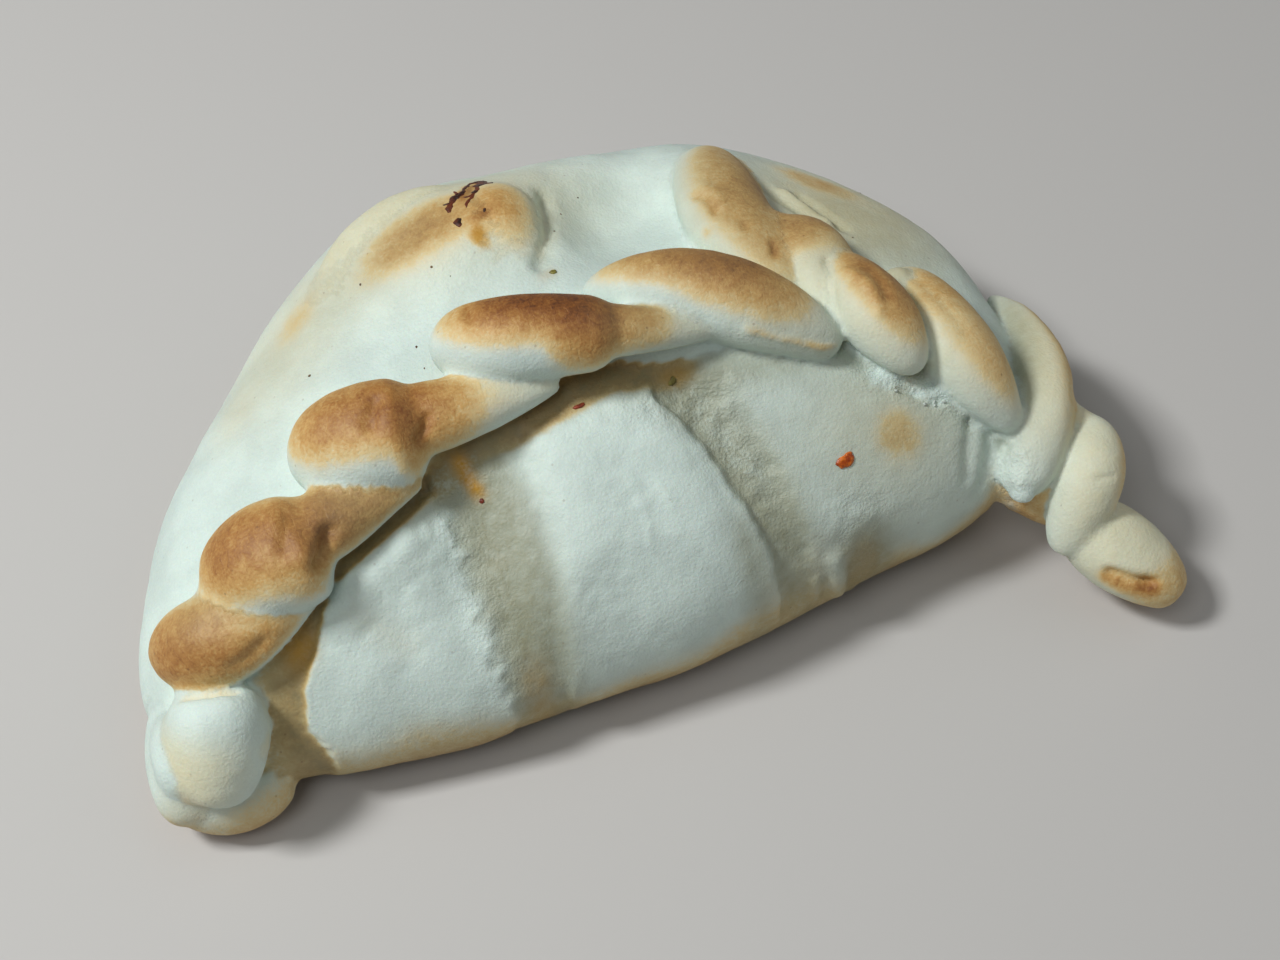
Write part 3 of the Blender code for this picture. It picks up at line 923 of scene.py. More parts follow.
@dataclass
class Dough:
    """The one skin of dough: it melts the parts together, sculpts them and tints them.

    Each softened spot is a place and a reach. Uneven and torn are layers of relief by strength,
    feature size and seed. Facings are spans of a normal's Y or Z part, and heights are in millimetres.
    """

    pocket: Pocket = field(default_factory=Pocket)
    folds: tuple[Fold, ...] = FOLDS
    lumps: tuple[Lump, ...] = LUMPS
    patches: tuple[Patch, ...] = PATCHES
    ledges: tuple[Ledge, ...] = LEDGES
    marks: tuple[Mark, ...] = MARKS
    voxel: float = 0.48
    smoothing: int = 2
    resting_cut: float = 0.6
    triangles: int = 192000
    blur: int = 2
    low_heights: Span = (8.0, 1.0)
    melting: int = 36
    head_place: float = 0.06
    head_share: float = 0.62
    head_extra: float = 1.5
    softened: tuple[tuple[float, float, float, float], ...] = (
        (20.5, 13.0, 38.0, 5.5),
        (-71.0, -23.0, 16.8, 6.0),
        (-71.6, -28.4, 12.6, 5.2),
        (51.0, -16.6, 21.6, 3.0),
    )
    uneven: Layers = ((0.34, 13, 1), (0.13, 5, 2), (0.05, 1.8, 3))
    torn: Layers = ((1.0, 2.0, 5), (0.9, 1.1, 6))
    torn_height: float = 0.34
    still_foot: Span = (1.5, 4.0)
    frayed: Layers = ((0.25, 1.2, 4),)
    mark_tint_width: float = 1.15
    # The rim is the lower front turned towards -Y. Its grease and toast are partly baked colour and partly
    # painted shade, where the front rolls away from the light.
    rim_heights: Span = (17.0, 3.0)
    rim_facing: Span = (0.1, -0.7)
    rim_on_flap: float = 0.4
    rim_toast_and_shade: float = 0.34
    rim_grease_and_shade: float = 0.5
    low_toast: float = 0.46
    low_uneven: Layers = ((1.5, 6, 7),)
    low_mottled: Layers = ((0.4, 3, 8),)
    under_facing: Span = (-0.3, -0.9)
    under_toast: float = 0.4
    strongest: float = 1.2
    grain_pace: Place = (1.9, 0.45, 40.0)
    grain_pace_hull: float = 0.9
    placed: Array = field(default_factory=lambda: np.zeros(3))

    def build(self) -> bpy.types.Object:
        """Makes the dough in its place.

        Returns:
            The finished mesh object, with one value for each tint at every vertex.
        """
        skins = [part.skin() for part in (self.pocket, *self.folds, *self.lumps)]
        dough = self.melted(skins)
        index = self.index_of(skins)
        self.placed = self.shift_to_frame(dough)
        self.melt_heads(dough)
        self.sculpt(dough, self.survey(dough, skins, index))
        self.thin(dough)
        self.rest_flat(dough)
        self.tint(dough, skins, self.survey(dough, skins, index))
        dough.data.transform(Matrix.Translation(Vector(self.placed)))
        dough.data.shade_smooth()
        return dough

    def melted(self, skins: Sequence[Skin]) -> bpy.types.Object:
        """One object made of all skins, melted together at their crossings.

        Args:
            skins: The closed skins.

        Returns:
            The mesh object.
        """
        mesh = bmesh.new()
        for skin in skins:
            self.add_loft(mesh, skin.rings)
        bmesh.ops.recalc_face_normals(mesh, faces=mesh.faces)
        data = bpy.data.meshes.new("dough")
        mesh.to_mesh(data)
        mesh.free()
        dough = bpy.data.objects.new("dough_crust", data)
        bpy.context.scene.collection.objects.link(dough)
        merge = dough.modifiers.new("merge", "REMESH")
        merge.mode = "VOXEL"
        merge.voxel_size = self.voxel * MM
        soften = dough.modifiers.new("soften", "SMOOTH")
        soften.factor = 0.5
        soften.iterations = self.smoothing
        apply_modifiers(dough)
        return dough

    def add_loft(self, mesh: bmesh.types.BMesh, rings: Array) -> None:
        """Adds a closed skin through rings of points, with a fan at each end.

        Args:
            mesh: Takes the faces.
            rings: The rings in millimetres, from one end to the other.
        """
        loops = [[mesh.verts.new(point * MM) for point in ring] for ring in rings]
        first, last = (mesh.verts.new(ring.mean(axis=0) * MM) for ring in (rings[0], rings[-1]))
        count = len(loops[0])
        for upper, lower in zip(loops, loops[1:]):
            for k in range(count):
                mesh.faces.new((upper[k], lower[k], lower[(k + 1) % count], upper[(k + 1) % count]))
        for k in range(count):
            mesh.faces.new((first, loops[0][k], loops[0][(k + 1) % count]))
            mesh.faces.new((last, loops[-1][(k + 1) % count], loops[-1][k]))

    def index_of(self, skins: Sequence[Skin]) -> tuple[KDTree, Array]:
        """A search tree over all skins' points, and each point's skin, ring and place in the ring.

        Args:
            skins: The closed skins.

        Returns:
            The tree and the labels of its points.
        """
        labels = []
        tree = KDTree(sum(skin.rings.shape[0] * skin.rings.shape[1] for skin in skins))
        for number, skin in enumerate(skins):
            for ring in range(skin.rings.shape[0]):
                for place in range(skin.rings.shape[1]):
                    tree.insert(skin.rings[ring, place], len(labels))
                    labels.append((number, ring, place))
        tree.balance()
        return tree, np.array(labels)

    def shift_to_frame(self, dough: bpy.types.Object) -> Array:
        """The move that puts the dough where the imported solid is, in metres.

        Args:
            dough: The melted dough.

        Returns:
            The move along each axis.
        """
        places = positions(dough.data) * MM
        low, high = places.min(axis=0), places.max(axis=0)
        cad_low, cad_high = (np.array(corner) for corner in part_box(NODE))
        move = (cad_low + cad_high) / 2 - (low + high) / 2
        move[2] = cad_low[2] - self.resting_cut * MM
        return move

    def survey(
        self, dough: bpy.types.Object, skins: Sequence[Skin], index: tuple[KDTree, Array]
    ) -> Survey:
        """Finds what is where on the dough as it is now.

        Args:
            dough: The dough.
            skins: The parts it was melted from.
            index: Their search tree and labels.

        Returns:
            The survey of all vertices.
        """
        places, (tree, labels) = positions(dough.data), index
        found = labels[[tree.find(place)[1] for place in places]]
        return Survey(places, vertex_normals(dough.data), found, tuple(skin.name for skin in skins))

    def melt_heads(self, dough: bpy.types.Object) -> None:
        """Lets the heads of some folds run softly into the dough behind them.

        Args:
            dough: The melted dough.
        """
        places = positions(dough.data)
        weight = np.zeros(len(places))
        for fold in self.folds:
            if not fold.melt:
                continue
            head = through(self.head_place, fold.end(-1), np.array(fold.crown), fold.end(1))
            reach = self.head_share * fold.breadth[0] + self.head_extra
            gap = np.linalg.norm(places - head, axis=1) / reach
            weight = np.maximum(weight, fold.melt * np.exp(-(gap**3)))
        for x, y, z, reach in self.softened:
            gap = np.linalg.norm(places - np.array([x, y, z]), axis=1) / reach
            weight = np.maximum(weight, np.exp(-(gap**3)))
        for _ in range(self.melting):
            even = np.column_stack([blurred(dough.data, places[:, k], 1) for k in range(3)])
            places += weight[:, None] * (even - places)
        dough.data.vertices.foreach_set("co", (places * MM).ravel())
        dough.data.update()

    def sculpt(self, dough: bpy.types.Object, survey: Survey) -> None:
        """Presses marks, wrinkles and torn places into the skin.

        Args:
            dough: The melted dough.
            survey: What is where on it.
        """
        places, normals = survey.places, survey.normals
        free = smooth_step(*self.still_foot, places[:, 2])
        push = waves(places, self.uneven)
        for mark in self.marks:
            own = survey.on(mark.on)
            line = survey.snapped(mark.points, own, self.voxel)
            gap = distance_to_line(places, normals, line)
            gap *= 1 + waves(places, self.frayed)
            push -= mark.depth * np.exp(-((gap / mark.width) ** 2)) * own
        front = survey.on(FRONT)
        for ledge in self.ledges:
            line = survey.snapped(ledge.points, front, self.voxel)
            push += ledge.push(places, normals, line) * front
        flake = self.patch_values(FLAKE, survey)
        push += flake * self.torn_height * waves(places, self.torn)
        push = blurred(dough.data, push, 1)
        moved = places + normals * (push * free)[:, None]
        dough.data.vertices.foreach_set("co", (moved * MM).ravel())
        dough.data.update()

    def thin(self, dough: bpy.types.Object) -> None:
        """Spends fewer triangles where the dough is smooth.

        Args:
            dough: The sculpted dough.
        """
        count = sum(len(face.vertices) - 2 for face in dough.data.polygons)
        if count <= self.triangles:
            return
        thin = dough.modifiers.new("thin", "DECIMATE")
        thin.ratio = self.triangles / count
        apply_modifiers(dough)

    def rest_flat(self, dough: bpy.types.Object) -> None:
        """Cuts the dough flat where it rests.

        Args:
            dough: The sculpted dough.
        """
        mesh = bmesh.new()
        mesh.from_mesh(dough.data)
        bmesh.ops.bisect_plane(
            mesh,
            geom=mesh.verts[:] + mesh.edges[:] + mesh.faces[:],
            plane_co=(0, 0, self.resting_cut * MM),
            plane_no=(0, 0, -1),
            clear_outer=True,
        )
        rim = [edge for edge in mesh.edges if edge.is_boundary]
        base = bmesh.ops.contextual_create(mesh, geom=rim)["faces"]
        bmesh.ops.triangulate(mesh, faces=base)
        mesh.to_mesh(dough.data)
        mesh.free()

    def patch_values(self, tint: Tint, survey: Survey) -> Array:
        """How strongly the patches of one tint colour each place.

        Args:
            tint: The tint.
            survey: What is where on the dough.

        Returns:
            The strength at each place.
        """
        value = np.zeros(len(survey.places))
        for patch in self.patches:
            if patch.tint is not tint:
                continue
            turn = math.radians(patch.turn)
            c, s = math.cos(turn), math.sin(turn)
            x, y = survey.places[:, 0] - patch.at[0], survey.places[:, 1] - patch.at[1]
            along, across = (x * c + y * s) / patch.size[0], (y * c - x * s) / patch.size[1]
            layer = survey.on(patch.on) * patch.strength * np.exp(-((along**2 + across**2) ** patch.edge))
            value = laid_over(value, layer)
        return value

    def tint(self, dough: bpy.types.Object, skins: Sequence[Skin], survey: Survey) -> None:
        """Writes one value for each tint at every vertex, and the grain's direction.

        Args:
            dough: The finished shape.
            skins: The parts it was melted from.
            survey: What is where on the dough.
        """
        values = {tint: self.patch_values(tint, survey) for tint in Tint}
        grain = self.tint_folds(values, skins, survey)
        self.tint_marks(values, survey)
        self.tint_ledges(values, survey)
        self.tint_rim(values, survey)
        for tint, value in values.items():
            soft = blurred(dough.data, value, self.blur)
            write_attribute(dough.data, tint.value, np.clip(soft, 0, self.strongest))
        write_attribute(dough.data, "grain", grain)

    def tint_folds(self, values: dict[Tint, Array], skins: Sequence[Skin], survey: Survey) -> Array:
        """Lays the folds' blushes over the tints.

        Args:
            values: The tints at every vertex, which are changed.
            skins: The parts the dough was melted from.
            survey: What is where on the dough.

        Returns:
            Where the grain of the skin is read at every vertex, drawn out along each fold.
        """
        grain = survey.places * self.grain_pace_hull
        for number, (skin, fold) in enumerate(zip(skins[1:], self.folds), start=1):
            own = np.flatnonzero(survey.found[:, 0] == number)
            along, turn = skin.along[survey.found[own, 1]], skin.turn[survey.found[own, 2]]
            for blush in fold.blushes:
                far = np.abs((along - blush.along) / blush.reach) ** 3
                wide = np.abs(((turn - blush.turn + 180) % 360 - 180) / blush.spread) ** 3
                layer = blush.strength * np.exp(-far - wide)
                values[blush.tint][own] = laid_over(values[blush.tint][own], layer)
            length = fold.reach[0] + fold.reach[1]
            girth = math.pi * fold.breadth[1] / 360
            course = [along * length, turn * girth, np.full(len(own), number)]
            grain[own] = np.column_stack(course) * self.grain_pace
        return grain

    def tint_marks(self, values: dict[Tint, Array], survey: Survey) -> None:
        """Lays the tints of the marks over the others.

        Args:
            values: The tints at every vertex, which are changed.
            survey: What is where on the dough.
        """
        for mark in self.marks:
            if mark.tint is None:
                continue
            own = survey.on(mark.on)
            line = survey.snapped(mark.points, own, self.voxel)
            gap = distance_to_line(survey.places, survey.normals, line)
            layer = mark.strength * np.exp(-((gap / mark.width / self.mark_tint_width) ** 2)) * own
            values[mark.tint] = laid_over(values[mark.tint], layer)

    def tint_ledges(self, values: dict[Tint, Array], survey: Survey) -> None:
        """Lays the tints of the ledges' sunk sides over the others.

        Args:
            values: The tints at every vertex, which are changed.
            survey: What is where on the dough.
        """
        own = survey.on(FRONT)
        for ledge in self.ledges:
            line = survey.snapped(ledge.points, own, self.voxel)
            away = ledge.away(survey.places, survey.normals, line)
            for tint, strength, reach in ledge.tints:
                layer = strength * ledge.sunk(survey.places, away, line, reach) * own
                values[tint] = laid_over(values[tint], layer)

    def tint_rim(self, values: dict[Tint, Array], survey: Survey) -> None:
        """Browns the foot and the underside, and darkens the front's lower edge with grease and toast:
        partly baked colour, partly painted shade where the front turns away from the light.

        Args:
            values: The tints at every vertex; toast and grease are changed.
            survey: What is where on the dough.
        """
        places, normals = survey.places, survey.normals
        height = places[:, 2] + waves(places, self.low_uneven)
        flap = survey.on(("end_flap", "end_fill"))
        # Partly painted shade: the lower front, turned away from the light, is greased and toasted darker.
        rim = smooth_step(*self.rim_heights, height) * smooth_step(*self.rim_facing, normals[:, 1])
        rim *= survey.on(FRONT) + self.rim_on_flap * flap
        values[GREASE_AND_SHADE] = laid_over(values[GREASE_AND_SHADE], self.rim_grease_and_shade * rim)
        low = smooth_step(*self.low_heights, height) * (1 - self.rim_on_flap * flap)
        low *= self.low_toast * (1 + waves(places, self.low_mottled))
        under = smooth_step(*self.under_facing, normals[:, 2])
        for layer in (self.rim_toast_and_shade * rim, low, self.under_toast * under):
            values[TOAST_AND_SHADE] = laid_over(values[TOAST_AND_SHADE], layer)


# --------------------------------------------------------------------------- mesh helpers


def positions(data: bpy.types.Mesh) -> Array:
    """A mesh's vertices in millimetres, one to a row.

    Args:
        data: The mesh.

    Returns:
        Their places.
    """
    flat = np.empty(len(data.vertices) * 3, np.float32)
    data.vertices.foreach_get("co", flat)
    return flat.reshape(-1, 3).astype(float) / MM


def vertex_normals(data: bpy.types.Mesh) -> Array:
    """A mesh's vertex normals, one to a row.

    Args:
        data: The mesh.

    Returns:
        The normals.
    """
    flat = np.empty(len(data.vertices) * 3, np.float32)
    data.vertex_normals.foreach_get("vector", flat)
    return flat.reshape(-1, 3).astype(float)


def blurred(data: bpy.types.Mesh, values: Array, rounds: int) -> Array:
    """Values at the vertices, evened out with their neighbours' a few times.

    Args:
        data: The mesh.
        values: One number for each vertex.
        rounds: How many times.

    Returns:
        The evened values.
    """
    ends = np.empty(len(data.edges) * 2, np.int32)
    data.edges.foreach_get("vertices", ends)
    first, second = ends.reshape(-1, 2).T
    count = len(data.vertices)
    degree = np.bincount(first, minlength=count) + np.bincount(second, minlength=count)
    for _ in range(rounds):
        total = np.bincount(first, values[second], count) + np.bincount(second, values[first], count)
        values = (1 - BLUR_SHARE) * values + BLUR_SHARE * total / np.maximum(degree, 1)
    return values


def write_attribute(data: bpy.types.Mesh, name: str, values: Array) -> None:
    """Stores a number, or three, at each vertex of a mesh under a name.

    Args:
        data: The mesh.
        name: The name that the finish reads.
        values: One row for each vertex.
    """
    single = values.ndim == 1
    kind, key = ("FLOAT", "value") if single else ("FLOAT_VECTOR", "vector")
    layer = data.attributes.new(name, kind, "POINT")
    layer.data.foreach_set(key, values.astype(np.float32).ravel())


def apply_modifiers(piece: bpy.types.Object) -> None:
    """Replaces a piece's mesh by what its modifiers make of it.

    Args:
        piece: The mesh object.
    """
    bpy.context.view_layer.update()
    seen = piece.evaluated_get(bpy.context.evaluated_depsgraph_get())
    made = bpy.data.meshes.new_from_object(seen)
    piece.modifiers.clear()
    piece.data = made


# --------------------------------------------------------------------------- shader tools


class Wire:
    """A node's output that does maths: an expression on wires adds the Math nodes for it."""

    def __init__(self, bench: "Bench", socket: bpy.types.NodeSocket) -> None:
        """Holds an output socket on a bench."""
        self.bench = bench
        self.socket = socket

    def math(self, operation: str, *values: "Wire | float") -> "Wire":
        """The outcome of one Math node on these values."""
        sockets = dict(enumerate(values))
        return self.bench.wire("ShaderNodeMath", {"operation": operation}, sockets)

    def __add__(self, other: "Wire | float") -> "Wire":
        """self + other."""
        return self.math("ADD", self, other)

    def __radd__(self, other: float) -> "Wire":
        """other + self."""
        return self.math("ADD", other, self)

    def __sub__(self, other: "Wire | float") -> "Wire":
        """self - other."""
        return self.math("SUBTRACT", self, other)

    def __rsub__(self, other: float) -> "Wire":
        """other - self."""
        return self.math("SUBTRACT", other, self)

    def __mul__(self, other: "Wire | float") -> "Wire":
        """self * other."""
        return self.math("MULTIPLY", self, other)

    def __rmul__(self, other: float) -> "Wire":
        """other * self."""
        return self.math("MULTIPLY", other, self)

    def limited(self) -> "Wire":
        """self kept between 0 and 1."""
        return self.math("MINIMUM", self.math("MAXIMUM", self, 0.0), 1.0)

    def stepped(self, low: float, high: float) -> "Wire":
        """A smooth rise from 0 where self is low to 1 where it is high.

        Args:
            low: Where the rise starts.
            high: Where it ends.

        Returns:
            The rise.
        """
        sockets = {"Value": self, "From Min": low, "From Max": high}
        settings = {"interpolation_type": "SMOOTHSTEP"}
        return self.bench.wire("ShaderNodeMapRange", settings, sockets)


class Bench:
    """A material being made: every node comes from its one method."""

    def __init__(self, name: str) -> None:
        """Starts a material with nothing in it but its output.

        Args:
            name: The material's name.
        """
        self.material = bpy.data.materials.new(name)
        self.material.use_nodes = True
        self.tree = self.material.node_tree
        self.tree.nodes.clear()

    def node(
        self,
        kind: str,
        settings: Mapping[str, Any] | None = None,
        sockets: Mapping[str | int, Any] | None = None,
    ) -> bpy.types.Node:
        """Adds a node.

        Args:
            kind: The node's type.
            settings: Its own settings, set first. "stops" are a ramp's places and colours.
            sockets: Values or wires for its inputs, by name or number.

        Returns:
            The node.
        """
        made = self.tree.nodes.new(kind)
        for name, value in (settings or {}).items():
            if name == "stops":
                self.set_stops(made, value)
            else:
                setattr(made, name, value)
        for key, value in (sockets or {}).items():
            target = made.inputs[key]
            if isinstance(value, Wire):
                self.tree.links.new(value.socket, target)
            else:
                target.default_value = value
        return made

    def set_stops(self, ramp: bpy.types.Node, stops: Sequence[tuple[float, Colour]]) -> None:
        """Sets a ramp's places and colours.

        Args:
            ramp: The colour ramp.
            stops: Places from 0 to 1, each with its colour.
        """
        elements = ramp.color_ramp.elements
        while len(elements) < len(stops):
            elements.new(0.5)
        for element, (place, colour) in zip(elements, stops):
            element.position = place
            element.color = (*colour, 1.0)

    def wire(
        self,
        kind: str,
        settings: Mapping[str, Any] | None = None,
        sockets: Mapping[str | int, Any] | None = None,
        output: str | int = 0,
    ) -> Wire:
        """Adds a node and gives one of its outputs.

        Args:
            kind: The node's type.
            settings: Its own settings.
            sockets: Values or wires for its inputs.
            output: Which output is wanted.

        Returns:
            That output.
        """
        return Wire(self, self.node(kind, settings, sockets).outputs[output])

    def value_of(self, attribute: str) -> Wire:
        """The number stored in the mesh under a name."""
        return self.wire("ShaderNodeAttribute", {"attribute_name": attribute}, output="Fac")

    def speckle(self, size: float, detail: float = 2.0, place: Wire | None = None) -> Wire:
        """Cloudy noise from 0 to 1 in features of a size in millimetres.

        Args:
            size: Width of a feature.
            detail: How many finer layers it has.
            place: Where it is read; the piece itself if none.

        Returns:
            The noise.
        """
        place = place or self.wire("ShaderNodeTexCoord", output="Object")
        sockets = {"Vector": place, "Scale": 1 / (size * MM), "Detail": detail}
        return self.wire("ShaderNodeTexNoise", None, sockets)

    def mixed(self, share: "Wire | float", first: "Wire | Colour", second: "Wire | Colour") -> Wire:
        """A colour between two colours.

        Args:
            share: 0 for the first colour and 1 for the second.
            first: One colour.
            second: The other.

        Returns:
            The mix.
        """
        pair = [c if isinstance(c, Wire) else (*c, 1.0) for c in (first, second)]
        sockets = {0: share, 6: pair[0], 7: pair[1]}
        return self.wire("ShaderNodeMix", {"data_type": "RGBA"}, sockets, output=2)

    def scaled(self, colour: Wire, factor: Wire) -> Wire:
        """A colour made darker or lighter by a factor."""
        return self.wire("ShaderNodeVectorMath", {"operation": "SCALE"}, {0: colour, "Scale": factor})

    def finish(self, sockets: Mapping[str, Any]) -> bpy.types.Material:
        """Closes the material with a Principled shader that has these sockets.

        Args:
            sockets: Values or wires for the shader's inputs.

        Returns:
            The finished material.
        """
        shader = self.wire("ShaderNodeBsdfPrincipled", None, sockets)
        self.node("ShaderNodeOutputMaterial", None, {"Surface": shader})
        return self.material


def srgb(red: float, green: float, blue: float) -> Colour:
    """A linear colour from screen values of 0 to 255."""
    shares = (red / 255, green / 255, blue / 255)
    return tuple(s / 12.92 if s <= 0.04045 else ((s + 0.055) / 1.055) ** 2.4 for s in shares)


@dataclass(frozen=True)
class CrustFinish:
    """Pale matt dough that turns ivory, tan and dark brown as it is toasted.

    Blotches are how far cloud, mottle, streaks and fine grain vary the toasting, and relief how far
    fine grain, mottle and streaks stand up. Shine is how much smoother grease and toast are.
    """

    dough: Colour = srgb(213, 230, 222)
    shade: Colour = srgb(195, 211, 204)
    cream: Colour = srgb(222, 209, 160)
    # The grease colour is real olive grease and also painted shade, under the rope, in the recess and on
    # the lower front.
    grease_and_shade: Colour = srgb(136, 134, 101)
    # The oil colour is real orange oil and also a painted glow in the shaded recess by the drum.
    oil_and_glow: Colour = srgb(196, 146, 30)
    # The char colour is real scorching and also painted shade in a thin crack.
    char_and_shade: Colour = srgb(66, 30, 14)
    speck: Colour = srgb(112, 78, 46)
    browning: tuple[tuple[float, Colour], ...] = (
        (0.0, srgb(228, 224, 200)),
        (0.2, srgb(222, 202, 150)),
        (0.42, srgb(201, 161, 97)),
        (0.64, srgb(170, 121, 62)),
        (0.84, srgb(135, 84, 38)),
        (1.0, srgb(94, 54, 28)),
    )
    roughness: float = 0.64
    cloud_size: float = 7.0
    mottle_size: float = 1.5
    fine_size: float = 0.4
    speck_cell: float = 1.1
    speck_share: float = 0.16
    blotches: tuple[float, float, float, float] = (0.36, 0.3, 0.26, 0.42)
    relief: tuple[float, float, float] = (0.12, 0.13, 0.05)
    toasted_relief: float = 0.12
    flaky_relief: float = 0.25
    bump: float = 0.7
    shine: tuple[float, float] = (0.12, 0.1)
    softness: float = 0.1
    soft_depth: float = 2.5
    soft_colour: Colour = (1.0, 0.55, 0.3)

    def material(self) -> bpy.types.Material:
        """The crust's material.

        Returns:
            The material.
        """
        bench = Bench("baked_dough")
        toast_and_shade, cream, grease_and_shade, char_and_shade, flake, oil_and_glow = (bench.value_of(tint.value) for tint in Tint)
        grain = bench.wire("ShaderNodeAttribute", {"attribute_name": "grain"}, output="Vector")
        streaks = bench.speckle(1.0 / MM, 3.0, grain)
        cloud = bench.speckle(self.cloud_size)
        mottle, fine = bench.speckle(self.mottle_size, 4.0), bench.speckle(self.fine_size, 3.0)
        clouded, mottled, streaked, grained = self.blotches
        blotch = (cloud - 0.5) * clouded + (mottle - 0.5) * mottled
        blotch = blotch + (streaks - 0.5) * streaked + (fine - 0.5) * grained
        baked_and_shade = (toast_and_shade + blotch * toast_and_shade.stepped(0.02, 0.5)).limited()
        base = bench.mixed(cloud.stepped(0.35, 0.65) * 0.6, self.dough, self.shade)
        base = bench.mixed((cream * (0.7 + mottle * 0.5)).limited() * 0.8, base, self.cream)
        brown = bench.wire("ShaderNodeValToRGB", {"stops": self.browning}, {"Fac": baked_and_shade})
        base = bench.mixed(baked_and_shade.stepped(0.02, 0.26), base, brown)
        # Grease here is real grease and painted shade alike.
        wet_and_shade = (grease_and_shade * (0.6 + mottle * 0.6 + fine * 0.3)).limited()
        base = bench.mixed(wet_and_shade * 0.88, base, self.grease_and_shade)
        base = bench.mixed((oil_and_glow * (0.4 + mottle * 1.1)).limited(), base, self.oil_and_glow)
        rough = (flake * (mottle + fine * 0.6 - 0.4)).stepped(0.15, 0.6)
        base = bench.mixed(rough * 0.4, base, self.dough)
        dots = self.specks(bench, self.speck_cell, self.speck_share)
        base = bench.mixed(dots * (0.25 + baked_and_shade * 0.5), base, self.speck)
        base = bench.mixed((char_and_shade * (0.5 + fine * 1.0)).stepped(0.25, 0.5), base, self.char_and_shade)
        grained, mottled, streaked = self.relief
        relief = (fine - 0.5) * grained + (mottle - 0.5) * mottled
        relief = relief + (streaks - 0.5) * (streaked + toast_and_shade * self.toasted_relief)
        relief = relief + flake * (mottle + fine) * self.flaky_relief
        sockets = {"Height": relief, "Distance": MM, "Strength": self.bump}
        bump = bench.wire("ShaderNodeBump", None, sockets)
        wet_shine, baked_shine = self.shine
        return bench.finish(
            {
                "Base Color": bench.scaled(base, 0.92 + fine * 0.16),
                "Roughness": self.roughness + (mottle - 0.5) * 0.2 - wet_and_shade * wet_shine - baked_and_shade * baked_shine,
                "Normal": bump,
                "Subsurface Weight": self.softness,
                "Subsurface Radius": self.soft_colour,
                "Subsurface Scale": self.soft_depth * MM,
            }
        )

    def specks(self, bench: Bench, size: float, share: float) -> Wire:
        """Pinprick specks: some of the cells of a size in millimetres hold one.

        Args:
            bench: The material being made.
            size: Width of a cell.
            share: How many of the cells hold one.

        Returns:
            A mask that is 1 on a speck.
        """
        place = bench.wire("ShaderNodeTexCoord", output="Object")
        sockets = {"Vector": place, "Scale": 1 / (size * MM)}
        cell = bench.node("ShaderNodeTexVoronoi", None, sockets)
        near, kind = Wire(bench, cell.outputs["Distance"]), Wire(bench, cell.outputs["Color"])
        return near.stepped(0.2, 0.08) * kind.stepped(share + 0.04, share)


@dataclass(frozen=True)
class ScrapFinish:
    """A small cooked scrap with an uneven colour and a slight shine."""

    light: Colour
    dark: Colour
    roughness: float = 0.45

    def material(self, name: str) -> bpy.types.Material:
        """The scrap's material.

        Args:
            name: The material's name.

        Returns:
            The material.
        """
        bench = Bench(name)
        cloud, fine = bench.speckle(1.2, 3.0), bench.speckle(0.3, 3.0)
        colour = bench.mixed(cloud.stepped(0.35, 0.65), self.dark, self.light)
        bump = bench.wire("ShaderNodeBump", None, {"Height": fine, "Distance": 0.2 * MM, "Strength": 0.6})
        return bench.finish(
            {
                "Base Color": bench.scaled(colour, 0.85 + fine * 0.3),
                "Roughness": self.roughness + (cloud - 0.5) * 0.2,
                "Normal": bump,
            }
        )


@dataclass(frozen=True)
class TableFinish:
    """A plain pale floor."""

    colour: Colour = srgb(196, 195, 192)
    shade: Colour = srgb(188, 187, 184)
    cloud_size: float = 60.0

    def material(self) -> bpy.types.Material:
        """The floor's material.

        Returns:
            The material.
        """
        bench = Bench("plain_floor")
        cloud = bench.speckle(self.cloud_size)
        colour = bench.mixed(cloud * 0.1, self.colour, self.shade)
        return bench.finish({"Base Color": colour, "Roughness": 0.8})


# --------------------------------------------------------------------------- scraps


@dataclass(frozen=True)
class Lying:
    """Where one scrap lies in plan, how long and wide it is, and how it is turned."""

    at: Plan
    size: Plan
    turn: float = 0.0


